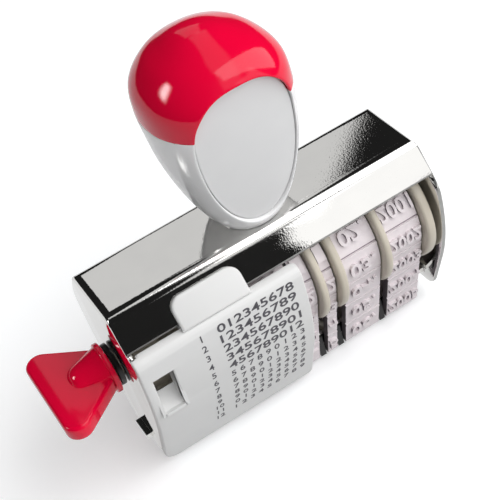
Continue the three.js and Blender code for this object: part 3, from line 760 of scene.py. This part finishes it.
# %% Axle and knob washer
axle_radius = 1.5
axle_head_radius = 2.6
axle_head_height = 0.9
axle_head_round = 0.45
axle_drawing = bmesh.new()
head_start = half_length + seat_gap
turned(axle_drawing, [
    (seat_gap - sleeve_reach, 0, 0),
    (seat_gap - sleeve_reach, axle_radius, drum_round),
    (head_start, axle_radius, 0),
    (head_start, axle_head_radius, drum_round),
    (head_start + axle_head_height, axle_head_radius, axle_head_round),
    (head_start + axle_head_height, 0, 0),
], closed=False)
finish_piece(axle_drawing, "axle_rod", "frame", [steel], ["axle"])

knob_washer_radius = 5.2
knob_washer_thickness = 1.3
washer_round = 0.25
washer_start = -half_length - seat_gap
washer_drawing = bmesh.new()
turned(washer_drawing, [
    (washer_start - knob_washer_thickness, sleeve_radius + seat_gap, 0),
    (washer_start - knob_washer_thickness, knob_washer_radius, washer_round),
    (washer_start, knob_washer_radius, washer_round),
    (washer_start, sleeve_radius + seat_gap, 0),
])
finish_piece(washer_drawing, "knob_spacer", "frame", [black_plastic], ["knob_washer"])

# %% [markdown]
# The wing knob is one red moulding: a flat wing with well rounded edges, a collar against the washer,
# and a boss that tapers off along the wing. The wing starts as a flat outline, gets its thickness and
# then its rounding, and the boss is spun into it.

# %% Wing knob
collar_radius = 6.2
collar_thickness = 1.3
collar_round = 0.3
wing_thickness = 4
wing_root_half = 6.1
wing_tip = -58
wing_tip_half = 17.2
wing_round = 3.4
wing_edge_round = 1
boss_radius = 5.6
boss_tip_radius = 3.6
boss_length = 8.4
boss_round = 3
collar_start = washer_start - knob_washer_thickness - seat_gap
wing_start = collar_start - collar_thickness
knob_drawing = bmesh.new()
wing_outline = rounded([(wing_start, -wing_root_half, 0), (wing_start, wing_root_half, 0),
                        (wing_tip, wing_tip_half, wing_round), (wing_tip, -wing_tip_half, wing_round)])
wing_face = outline_face(knob_drawing, wing_outline, lambda x, y: (x, y, axle_height - wing_thickness / 2))
extruded(knob_drawing, [wing_face], (0, 0, wing_thickness))
agree(knob_drawing)
softened(knob_drawing, sharp_edges(knob_drawing), wing_edge_round, 5)
turned(knob_drawing, [
    (wing_start - boss_length, 0, 0),
    (wing_start - boss_length, boss_tip_radius, boss_round),
    (wing_start, boss_radius, 0),
    (wing_start, collar_radius, collar_round),
    (collar_start, collar_radius, collar_round),
    (collar_start, 0, 0),
], closed=False)
finish_piece(knob_drawing, "knob_moulding", "phrase_drive", [red_plastic], ["wing_knob"])

# %% [markdown]
# Digits are printed on the cover and stand raised on the bands. They begin as a text object, because
# Blender draws good figures by itself. The text becomes a mesh before it is placed, so that it can
# follow a bent surface: a function puts each of its corners where it belongs.

# %% Digits as a mesh
digit_detail = 3
digit_slices = 4
sliver = 0.002
upwards = (0, 1, 0)


def digit_mesh(text, height, width=None, weight=0.0):
    """Flat digits of a height, centred, and stretched or tightened to a width if one is given."""
    curve = bpy.data.curves.new("digits", "FONT")
    curve.body = text
    curve.offset = weight
    curve.resolution_u = digit_detail
    holder = bpy.data.objects.new("digits", curve)
    flat = bpy.data.meshes.new_from_object(holder)
    drawing = bmesh.new()
    drawing.from_mesh(flat)
    bpy.data.objects.remove(holder)
    bpy.data.curves.remove(curve)
    bpy.data.meshes.remove(flat)
    lowest = [min(corner.co[axis] for corner in drawing.verts) for axis in (0, 1)]
    highest = [max(corner.co[axis] for corner in drawing.verts) for axis in (0, 1)]
    middle = [(low + high) / 2 for low, high in zip(lowest, highest)]
    growth = height / (highest[1] - lowest[1])
    stretch = width / (highest[0] - lowest[0]) if width else growth
    for corner in drawing.verts:
        corner.co = Vector(((corner.co.x - middle[0]) * stretch, (corner.co.y - middle[1]) * growth, 0))
    for cut in range(1, digit_slices):
        scored(drawing, (0, height * (cut / digit_slices - 0.5), 0), upwards)
    bmesh.ops.dissolve_degenerate(drawing, edges=drawing.edges[:], dist=sliver)
    return drawing


wall_least = 0.5
shadow_side = -0.3


def add_raised(target, drawing, thickness, place, wall_look=0):
    """Thickens flat digits and adds them to a drawing, each corner placed by a function."""
    extruded(drawing, drawing.faces[:], (0, 0, thickness))
    agree(drawing)
    drawing.normal_update()
    # Flanks that face one way get the wall look, which on the bands is painted shade.
    for face in drawing.faces:
        shaded_flank = abs(face.normal.z) < wall_least and face.normal.y > shadow_side
        face.material_index = wall_look if shaded_flank else 0
        face.smooth = True
    for corner in drawing.verts:
        corner.co = place(corner.co.x, corner.co.y, corner.co.z)
    join_into(target, drawing)


print("digits are cut into", digit_slices, "slices, to bend with what they stand on")


# %% [markdown]
# A date band is a rubber loop, stretched round its drum and the platen. Its line is easy to give: a
# short flat foot, a small arc, a straight side and a half turn round the drum, the same again at the
# back. Every point of a band is then a distance along this line, a depth under the printing surface
# and a place along the axle, and digits and grooves can be put on it as on a ruler.

# %% The line of a band
foot_half = 3.6
foot_round = 1.2
loop_toe = Vector((foot_half, foot_round))
loop_wheel = Vector((0, axle_height))
loop_apart = loop_toe - loop_wheel
loop_side = (math.atan2(loop_apart.y, loop_apart.x)
             + math.acos((band_radius - foot_round) / loop_apart.length))


def spoke(angle):
    """A step of one millimetre at an angle."""
    return Vector((math.cos(angle), math.sin(angle)))


toe_end = loop_toe + spoke(loop_side) * foot_round
wheel_start = loop_wheel + spoke(loop_side) * band_radius
side_length = (wheel_start - toe_end).length
toe_length = foot_round * (loop_side + math.pi / 2)
half_turn_length = band_radius * (math.pi / 2 - loop_side)
half_loop = foot_half + toe_length + side_length + half_turn_length
type_rows = 13
row_pitch = 2 * half_loop / type_rows


def row_middle(row):
    """The distance of a row's middle along the loop; the row in use lies in the middle of the foot."""
    return (row - type_rows // 2) * row_pitch


def band_place(distance, depth):
    """The point (y, z) at a distance from the foot's middle, backwards if positive, sunk by a depth."""
    left = abs(distance)
    if left <= foot_half:
        point, angle = Vector((left, 0)), -math.pi / 2
    elif left <= foot_half + toe_length:
        angle = -math.pi / 2 + (left - foot_half) / foot_round
        point = loop_toe + spoke(angle) * foot_round
    elif left <= foot_half + toe_length + side_length:
        angle = loop_side
        point = toe_end.lerp(wheel_start, (left - foot_half - toe_length) / side_length)
    else:
        angle = loop_side + (left - foot_half - toe_length - side_length) / band_radius
        point = loop_wheel + spoke(angle) * band_radius
    point = point - spoke(angle) * depth
    return Vector((math.copysign(point.x, distance) if distance else 0, point.y))


print("band", round(2 * half_loop, 1), "mm round, a row every", round(row_pitch, 2), "mm")

# %% [markdown]
# A band's surface isn't plain. Between two rows of type runs a groove with a low ridge beside it, and
# old ink has stained the grooves. The flanks of the type that face one way get the same darker rubber
# as painted shade, and the band's sides a darker one still, also painted shade. All of this goes by a
# face's place and direction, so a band gets three finishes, and no picture is needed.

# %% A band's section
type_height = 4
type_weight = 0.022
type_raise = 0.75
type_sunk = 0.15
band_thickness = 2.5
row_groove = 0.32
row_groove_depth = 0.35
row_ridge = 0.55
row_ridge_raise = 0.12
band_ground = type_raise
loop_steps = 16


def band_section():
    """The band's outer line as (distance, depth) for each row, with a groove and a ridge between rows."""
    line = []
    for row in range(type_rows):
        start = row_middle(row) - row_pitch / 2
        line += [(start - row_groove / 2, band_ground + row_groove_depth),
                 (start + row_groove / 2, band_ground + row_groove_depth),
                 (start + row_groove, band_ground - row_ridge_raise),
                 (start + row_groove + row_ridge, band_ground - row_ridge_raise),
                 (start + row_groove + row_ridge + row_groove, band_ground)]
        first = start + row_groove + row_ridge + row_groove
        last = start + row_pitch - row_groove
        line += [(first + (last - first) * step / loop_steps, band_ground)
                 for step in range(1, loop_steps + 1)]
    return line


def wrapped(distance):
    """Brings a distance back onto the loop."""
    return (distance + half_loop) % (2 * half_loop) - half_loop


groove_depth = band_ground + row_groove_depth
groove_floors = [band_place(wrapped(row_middle(row) - row_pitch / 2), groove_depth)
                 for row in range(type_rows)]


def band_look(face):
    """Which of a band's finishes a face gets: 2 on the sides, 1 in the grooves and 0 elsewhere."""
    # The sides get the dark rubber that paints their shade; the grooves get the ink-stained one.
    if looks_along(face):
        return 2
    centre = Vector(face.calc_center_median().yz)
    return int(any((floor - centre).length < row_groove / 2 for floor in groove_floors))


print("a band's outer line has", len(band_section()), "points")


# %% Bands with raised digits
def make_band(name, start, end, texts, text_width, replaced):
    """A band between two places on the axle, with one text for each row."""
    drawing = bmesh.new()
    outer = [band_place(wrapped(distance), depth) for distance, depth in band_section()]
    inner = [band_place(wrapped(distance), band_thickness) for distance, depth in band_section()]
    loops = []
    for points in (outer, inner):
        corners = [drawing.verts.new((start, point.x, point.y)) for point in points]
        loops.append([drawing.edges.new(pair) for pair in zip(corners, corners[1:] + corners[:1])])
    side = bmesh.ops.bridge_loops(drawing, edges=loops[0] + loops[1])["faces"]
    extruded(drawing, side, (end - start, 0, 0))
    agree(drawing)
    for face in drawing.faces:
        face.material_index = band_look(face)
    for row, text in enumerate(texts):
        middle = row_middle(row)

        def place(across, up, raised, middle=middle):
            point = band_place(wrapped(middle + up), band_ground + type_sunk - raised)
            return Vector(((start + end) / 2 + across, point.x, point.y))

        digits = digit_mesh(text, type_height, text_width, type_weight)
        add_raised(drawing, digits, type_raise + type_sunk, place, wall_look=1)
    finish_piece(drawing, name, "frame", [band_rubber, ink_stain_and_shade_rubber, painted_shade_rubber], replaced)


digit_row = "0123456789"
tens_digits = 4
months = 12
first_year = 2000
phrase_digits = 7
phrase_type_width = 20.5
phrase_texts = [" ".join((digit_row * 2)[row % 10:row % 10 + phrase_digits]) for row in range(type_rows)]
date_texts = {
    "tens": [digit_row[row % tens_digits] for row in range(type_rows)],
    "units": [digit_row[row % 10] for row in range(type_rows)],
    "month": [f"{row % months + 1:02d}." for row in range(type_rows)],
    "year": [str(first_year + row) for row in range(type_rows)],
}
date_type_widths = {"tens": 2.6, "units": 2.3, "month": 7, "year": 8.8}
make_band("phrase_loop", phrase_start, phrase_end, phrase_texts, phrase_type_width, ["phrase_band"])
for wheel_name, drum_start, disc_start, _ in date_wheels:
    make_band(f"{wheel_name}_loop", drum_start, disc_start - seat_gap, date_texts[wheel_name],
              date_type_widths[wheel_name], [f"{wheel_name}_band"])

# %% [markdown]
# The cover is a thin white moulding that hangs in front of the phrase band. The easiest way to make
# such a bent plate with crisp openings is the way of a tinsmith: draw it flat, cut the window, give it
# its thickness, round all edges, and bend it last. The same bend then carries the printed digits.

# %% The cover's bend
cover_end = 1.5
cover_wall = 1.5
cover_foot = 1.5
shoulder_round = 2.4
ledge_top = flange_foot - seat_gap
ledge_end = -flange_half - seat_gap
foot_rise = cover_bend_top - cover_bend_radius * math.sin(cover_bend_angle) - cover_foot
lower_length = foot_rise / math.cos(cover_bend_angle)
bend_length = cover_bend_radius * cover_bend_angle
upright_length = ledge_top - shoulder_round - cover_bend_top
shoulder_length = shoulder_round * math.pi / 2
ledge_length = ledge_end + cover_reach - shoulder_round
cover_stretches = (lower_length, bend_length, upright_length, shoulder_length, ledge_length)
cover_height = sum(cover_stretches)
bend_centre = Vector((cover_bend_radius - cover_reach, cover_bend_top))


def cover_place(along, up, depth):
    """The point on the bent cover for a place on the flat one, sunk by a depth."""
    left = up
    if left < lower_length:
        outward = -spoke(cover_bend_angle)
        lower = bend_centre + outward * cover_bend_radius
        downward = Vector((math.sin(cover_bend_angle), -math.cos(cover_bend_angle)))
        point = lower + downward * (lower_length - left)
    elif left < lower_length + bend_length:
        angle = cover_bend_angle * (1 - (left - lower_length) / bend_length)
        outward = -spoke(angle)
        point = bend_centre + outward * cover_bend_radius
    elif left < lower_length + bend_length + upright_length:
        outward = Vector((-1, 0))
        point = Vector((-cover_reach, cover_bend_top + left - lower_length - bend_length))
    elif left < cover_height - ledge_length:
        angle = (left - lower_length - bend_length - upright_length) / shoulder_round
        outward = Vector((-math.cos(angle), math.sin(angle)))
        point = Vector((shoulder_round - cover_reach, ledge_top - shoulder_round)) + outward * shoulder_round
    else:
        outward = Vector((0, 1))
        point = Vector((ledge_end - (cover_height - left), ledge_top))
    point = point - outward * depth
    return Vector((along, point.x, point.y))


def up_for_height(height):
    """The place on the flat cover that ends up at a height on the bent or upright stretch."""
    if height >= cover_bend_top:
        return lower_length + bend_length + height - cover_bend_top
    return lower_length + bend_length - cover_bend_radius * math.asin(
        (cover_bend_top - height) / cover_bend_radius)


print("flat cover", round(cover_height, 1), "mm high")

# %% The cover's plate
corner_round = 4
small_corner_round = 1.2
cover_edge_round = 0.45
notch_end = sheet + seat_gap - half_length
notch_depth = 0.95
notch_foot = cover_height - notch_depth
notch_round = 0.2
window_start = -37.6
window_end = -32.7
window_foot = 27
window_top = 38
cover_slices = 44


def cover_sheet():
    """The flat cover with its window, thickened, rounded and then bent."""
    drawing = bmesh.new()
    outline = rounded([(-half_length, 0, corner_round), (cover_end, 0, small_corner_round),
                       (cover_end, cover_height, small_corner_round),
                       (notch_end, cover_height, notch_round), (notch_end, notch_foot, notch_round),
                       (-half_length, notch_foot, notch_round)])
    outline_face(drawing, outline, lambda x, y: (x, y, 0))
    foot_up, top_up = up_for_height(window_foot), up_for_height(window_top)
    for place, direction in (((window_start, 0, 0), along_axle), ((window_end, 0, 0), along_axle),
                             ((0, foot_up, 0), upwards), ((0, top_up, 0), upwards)):
        scored(drawing, place, direction)
    opening = [face for face in drawing.faces
               if window_start < face.calc_center_median().x < window_end
               and foot_up < face.calc_center_median().y < top_up]
    bmesh.ops.delete(drawing, geom=opening, context="FACES")
    extruded(drawing, drawing.faces[:], (0, 0, -cover_wall))
    agree(drawing)
    outer_rim = [edge for edge in sharp_edges(drawing) if all(abs(corner.co.z) < weld_distance
                                                              for corner in edge.verts)]
    softened(drawing, outer_rim, cover_edge_round, 4)
    for cut in range(1, cover_slices):
        scored(drawing, (0, cover_height * cut / cover_slices, 0), upwards)
    shoulder_foot = cover_height - ledge_length - shoulder_length
    for cut in range(fold_steps + 1):
        scored(drawing, (0, shoulder_foot + shoulder_length * cut / fold_steps, 0), upwards)
    for corner in drawing.verts:
        corner.co = cover_place(corner.co.x, corner.co.y, -corner.co.z)
    return drawing


cover_drawing = cover_sheet()
print("bent cover of", len(cover_drawing.faces), "faces")

# %% [markdown]
# Two things stand on the cover's plate. Walls run inwards round the window, with a sill that slopes
# up, so that the printed place lies in a small shaft. At the top a tab grips the frame's flange.

# %% Window walls
window_wall = 0.8
window_depth = 3.2
sill_rise = 3.4
wall_back = -cover_reach + cover_wall + window_depth


def add_solid(target, outline, place, shift, radius=0.0, steps=3):
    """Adds a flat outline that is given thickness and rounded all round."""
    drawing = bmesh.new()
    extruded(drawing, [outline_face(drawing, outline, place)], shift)
    agree(drawing)
    if radius:
        softened(drawing, sharp_edges(drawing), radius, steps)
    join_into(target, drawing)


wall_lap = 0.5
strip_lap = 0.2
wall_front = wall_lap - cover_reach


def wall_outline(low, high):
    """Four corners (y, z) of a wall that runs inwards from the plate."""
    corners = ((wall_front, low), (wall_back, low), (wall_back, high), (wall_front, high))
    return [Vector(corner) for corner in corners]


side_wall = wall_outline(window_foot - window_wall, window_top + window_wall)
for wall_start in (window_start - window_wall, window_end):
    add_solid(cover_drawing, side_wall, lambda y, z, x=wall_start: (x, y, z), (window_wall, 0, 0))
lintel = wall_outline(window_top, window_top + window_wall)
sill = [Vector((wall_front, window_foot - window_wall)), Vector((wall_back, window_foot - window_wall)),
        Vector((wall_back, window_foot + sill_rise)), Vector((wall_front + window_wall, window_foot)),
        Vector((wall_front, window_foot))]
for strip in (lintel, sill):
    add_solid(cover_drawing, strip, lambda y, z: (window_start - strip_lap, y, z),
              (window_end - window_start + 2 * strip_lap, 0, 0))
print("window", round(window_end - window_start, 1), "x", window_top - window_foot, "mm")

# %% [markdown]
# The cover is held by a tab that lies on the frame's front flange and by a clip behind the flange's
# lower edge. Both follow the flange's slope, so their outlines are given as distances along the flange
# and out from its face.

# %% The tab over the flange
tab_start = -27.2
tab_end = -10.2
tab_reach = 6
tab_wall = 1.8
tab_round = 3
tab_edge_round = 0.6
tab_root = 1.6
clip_reach = 2
clip_wall = 1.2
flange_slope = Vector((flange_half - top_half, frame_height - flange_foot)).normalized()


def beside_flange(up, out):
    """The point (y, z) a distance up the flange from its lower edge, and out from its face."""
    return Vector((-flange_half + flange_slope.x * up - flange_slope.y * out,
                   flange_foot + flange_slope.y * up + flange_slope.x * out))


def tab_place(along, up):
    """The place of the tab's underside, a running gap over the flange."""
    point = beside_flange(up, seat_gap)
    return (along, point.x, point.y)


tab_outline = rounded([(tab_start, -tab_root, 0), (tab_end, -tab_root, 0), (tab_end, tab_reach, tab_round),
                       (tab_start, tab_reach, tab_round)])
tab_shift = Vector((0, -flange_slope.y, flange_slope.x)) * tab_wall
add_solid(cover_drawing, tab_outline, tab_place, tab_shift, tab_edge_round)
clip_back = sheet + seat_gap
clip_outline = [beside_flange(-seat_gap, -clip_back), beside_flange(clip_reach, -clip_back),
                beside_flange(clip_reach, -clip_back - clip_wall),
                beside_flange(-seat_gap - clip_wall, -clip_back - clip_wall),
                beside_flange(-seat_gap - clip_wall, tab_wall), beside_flange(-seat_gap, tab_wall)]
add_solid(cover_drawing, clip_outline, lambda y, z: (tab_start, y, z), (tab_end - tab_start, 0, 0))
print("tab", tab_end - tab_start, "mm wide")

# %% [markdown]
# What stands on the cover is print, a hair's breadth thick. The first column numbers the phrases, and
# each row beside it is filled with plain digits. The upper rows are set bolder than the lower ones.

# %% Printed rows
print_rows = 12
print_pitch = 3.1
first_row_height = 41.7
print_first = up_for_height(first_row_height)
bold_height = 2.35
plain_height = 1.9
bold_weight = 0.014
plain_weight = 0.006
row_digits = 9
print_raise = 0.05
number_along = -24.6
number_height = 1.9
row_from = -20.6
row_to = -1.2
bold_rows = 5


def cover_text(target, text, height, width, along, up, weight):
    """Prints digits on the cover, centred on a place of the flat cover."""
    def place(across, rise, raised):
        return cover_place(along + across, up + rise, -raised)

    add_raised(target, digit_mesh(text, height, width, weight), print_raise, place)


print_drawing = bmesh.new()
for row in range(print_rows):
    row_up = print_first - row * print_pitch
    number = str(row + 1)
    cover_text(print_drawing, number, number_height, None, number_along, row_up, plain_weight)
    bold = row < bold_rows
    digits = ("" if bold else " ").join((digit_row * 2)[row:row + row_digits])
    cover_text(print_drawing, digits, bold_height if bold else plain_height, row_to - row_from,
               (row_from + row_to) / 2, row_up, bold_weight if bold else plain_weight)
finish_piece(print_drawing, "cover_print", "frame", [print_ink])
finish_piece(cover_drawing, "cover_moulding", "frame", [white_plastic], ["phrase_cover"])

# %% [markdown]
# Screw, washers, bridge and comb sit inside the frame. Their CAD solids already have the right shape,
# so they stay as they are and only get the finishes of their slots.

# %% Finishes of the pieces that stay
for node_name, look in (("handle_screw", steel), ("handle_washer", steel), ("spring_washer", steel),
                        ("platen_bridge", chrome), ("platen_comb", black_plastic)):
    for material_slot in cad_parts[node_name].material_slots:
        material_slot.material = look
    print(node_name, "gets", look.name)

# %% [markdown]
# The stamp stands on white paper. Near it, the camera sees the paper as the light leaves it, with a
# little glow of its own, so that it is white and still holds the shadow. Further off it turns into
# plain white. Everything else sees a dimmer paper, or else it would light the stamp from below, and
# for mirrors that paper glows a little.

# %% Floor
floor_half = 2.5
camera_glow = 0.22
mirror_glow = 0.5
shadow_ground = 0.14
white_ground = 0.5


def is_ray(look, kind):
    """1 for one kind of light ray and 0 for all others."""
    return look.node("ShaderNodeLightPath", {}, {}, f"Is {kind} Ray")


def glowing(look, paper, strength):
    """Adds an even white glow to a paper."""
    glow = look.node("ShaderNodeEmission", {}, {"Color": white, "Strength": strength})
    return look.node("ShaderNodeAddShader", {}, {0: paper, 1: glow})


floor_look = Look(bpy.data.materials.new("floor_paper"))
floor_spot = floor_look.node("ShaderNodeTexCoord", {}, {}, "Object")
from_middle = floor_look.node("ShaderNodeVectorMath", {"operation": "LENGTH"}, {0: floor_spot}, "Value")
far_share = floor_look.node("ShaderNodeMapRange", {}, {
    "Value": from_middle, "From Min": shadow_ground, "From Max": white_ground})
seen_paper = floor_look.node("ShaderNodeBsdfDiffuse", {}, {"Color": linear(241, 242, 243)})
near = glowing(floor_look, seen_paper, camera_glow)
far = floor_look.node("ShaderNodeEmission", {}, {"Color": white})
seen = floor_look.node("ShaderNodeMixShader", {}, {0: far_share, 1: near, 2: far})
dim_paper = floor_look.node("ShaderNodeBsdfDiffuse", {}, {"Color": linear(168, 169, 170)})
mirrored = glowing(floor_look, dim_paper, mirror_glow)
mirror_sees = is_ray(floor_look, "Glossy")
dim = floor_look.node("ShaderNodeMixShader", {}, {0: mirror_sees, 1: dim_paper, 2: mirrored})
camera_sees = is_ray(floor_look, "Camera") + is_ray(floor_look, "Transmission")
paper = floor_look.node("ShaderNodeMixShader", {}, {0: camera_sees, 1: dim, 2: seen})
floor_look.node("ShaderNodeOutputMaterial", {}, {"Surface": paper})
floor_drawing = bmesh.new()
bmesh.ops.create_grid(floor_drawing, x_segments=1, y_segments=1, size=floor_half)
floor_mesh = bpy.data.meshes.new("floor")
floor_drawing.to_mesh(floor_mesh)
floor_drawing.free()
floor_mesh.materials.append(floor_look.owner)
floor = bpy.data.objects.new("floor", floor_mesh)
bpy.context.collection.objects.link(floor)
print("floor", 2 * floor_half, "m wide")

# %% [markdown]
# Chrome shows the room more than itself, and a real studio hangs pale panels round it in the dark. Here
# the room is in the world. Matt pieces get soft light, stronger from the front. Mirror rays see a dark
# room with panels: one behind for the top plate, one in front for the right half of the flange, one
# overhead for the front fold, and a small bright one for the spot on the red head. Lamps in their
# places would do the same for the chrome, but would also light everything that is matt.

# %% World
room = bpy.data.worlds.new("room")
bpy.context.scene.world = room
room_look = Look(room)
direction = room_look.node("ShaderNodeTexCoord", {}, {}, "Generated")


def part_of(axis):
    """How far a ray's direction points along an axis."""
    return room_look.node("ShaderNodeSeparateXYZ", {}, {"Vector": direction}, axis)


def between(value, limits, blur):
    """1 where a value lies between two limits, with a soft edge, and 0 elsewhere."""
    low, high = limits
    rise = room_look.node("ShaderNodeMapRange", {}, {
        "Value": value, "From Min": low - blur, "From Max": low + blur, "To Min": 0.0, "To Max": 1.0})
    fall = room_look.node("ShaderNodeMapRange", {}, {
        "Value": value, "From Min": high - blur, "From Max": high + blur, "To Min": 1.0, "To Max": 0.0})
    return rise * fall


azimuth = room_look.node("ShaderNodeMath", {"operation": "ARCTAN2"},
                         {0: part_of("X"), 1: part_of("Y") * -1.0})
elevation = room_look.node("ShaderNodeMath", {"operation": "ARCSINE"}, {0: part_of("Z")})


def panel(sideways, sideways_blur, upwards, upwards_blur):
    """A panel between two azimuths and two elevations in degrees; azimuth 0 is the front, 90 the right."""
    across = between(azimuth, [math.radians(limit) for limit in sideways], math.radians(sideways_blur))
    up = between(elevation, [math.radians(limit) for limit in upwards], math.radians(upwards_blur))
    return across * up


print("the world is a room that mirrors and matt pieces see differently")

# %% Panels and soft light
back_panel = panel(sideways=(152, 178), sideways_blur=0.3, upwards=(24, 50), upwards_blur=0.5)
back_brightness = 0.73
front_panel = panel(sideways=(21.3, 62), sideways_blur=0.3, upwards=(8, 42), upwards_blur=2)
front_brightness = 1.25
head_spot = panel(sideways=(-121, -108), sideways_blur=4, upwards=(24, 40), upwards_blur=3)
spot_brightness = 18
overhead_along, overhead_along_blur = (0.07, 0.42), 0.03
overhead_deep, overhead_deep_blur = (-0.78, 0.6), 0.02
overhead_panel = (between(part_of("X"), overhead_along, overhead_along_blur)
                  * between(part_of("Y"), overhead_deep, overhead_deep_blur))
overhead_brightness = 0.75
dark_room = 0.015
mirror_light = (dark_room + back_panel * back_brightness + front_panel * front_brightness
                + overhead_panel * overhead_brightness + head_spot * spot_brightness)
front_glow = panel(sideways=(-15, 75), sideways_blur=12, upwards=(2, 60), upwards_blur=8)
front_glow_brightness = 2.0
soft_light = 0.42
matt_light = soft_light + front_glow * front_glow_brightness
camera_ray = is_ray(room_look, "Camera")
mirror_ray = is_ray(room_look, "Glossy")
glass_ray = is_ray(room_look, "Transmission")
matt_ray = 1 - camera_ray - mirror_ray - glass_ray
strength = camera_ray + glass_ray + mirror_ray * mirror_light + matt_ray * matt_light
background = room_look.node("ShaderNodeBackground", {}, {"Color": white, "Strength": strength})
room_look.node("ShaderNodeOutputWorld", {}, {"Surface": background})
print("world of", len(room_look.tree.nodes), "nodes")

# %% [markdown]
# One tall soft box above and to the right models the shape. Its strength is given as the brightness of
# its face, and the watts follow from its size, because a larger box of the same brightness gives more
# light.

# %% Soft box
stamp_middle = Vector((0, 0, 0.06))
box_direction = Vector((0.68, -0.2, 0.7)).normalized()
box_distance = 1
box_width = 0.45
box_height = 1.5
box_roll = math.radians(35)
box_brightness = 2.6
light = bpy.data.lights.new("key_box", "AREA")
light.shape = "RECTANGLE"
light.size = box_width
light.size_y = box_height
light.energy = box_brightness * math.pi * box_width * box_height
lamp = bpy.data.objects.new("key_box", light)
facing = box_direction.to_track_quat("Z", "Y").to_matrix() @ Matrix.Rotation(box_roll, 3, "Z")
lamp.matrix_world = Matrix.Translation(stamp_middle + box_direction * box_distance) @ facing.to_4x4()
bpy.context.collection.objects.link(lamp)
print("soft box of", round(light.energy, 2), "watts")

# %% [markdown]
# The camera stands where the photograph was taken from: it looks down on the front from the left. Its
# place and its three directions were fitted to the frame's corners.

# %% Camera
camera_place = Vector((-0.07143, -0.20551, 0.22955))
camera_right = Vector((0.8360169, -0.49720393, -0.2320862))
camera_up = Vector((0.49271565, 0.49411499, 0.71629719))
camera_back = Vector((-0.24146851, -0.71318906, 0.65806863))
focal_length = 91.47
film_width = 36
nearest_seen = 0.01
lens = bpy.data.cameras.new("camera")
lens.lens = focal_length
lens.sensor_width = film_width
lens.clip_start = nearest_seen
camera = bpy.data.objects.new("camera", lens)
turn = Matrix((camera_right, camera_up, camera_back)).transposed()
camera.matrix_world = Matrix.Translation(camera_place) @ turn.to_4x4()
bpy.context.collection.objects.link(camera)
bpy.context.scene.camera = camera
bpy.context.scene.view_settings.view_transform = "Standard"
print("camera", round(camera_place.length, 3), "m from the origin")
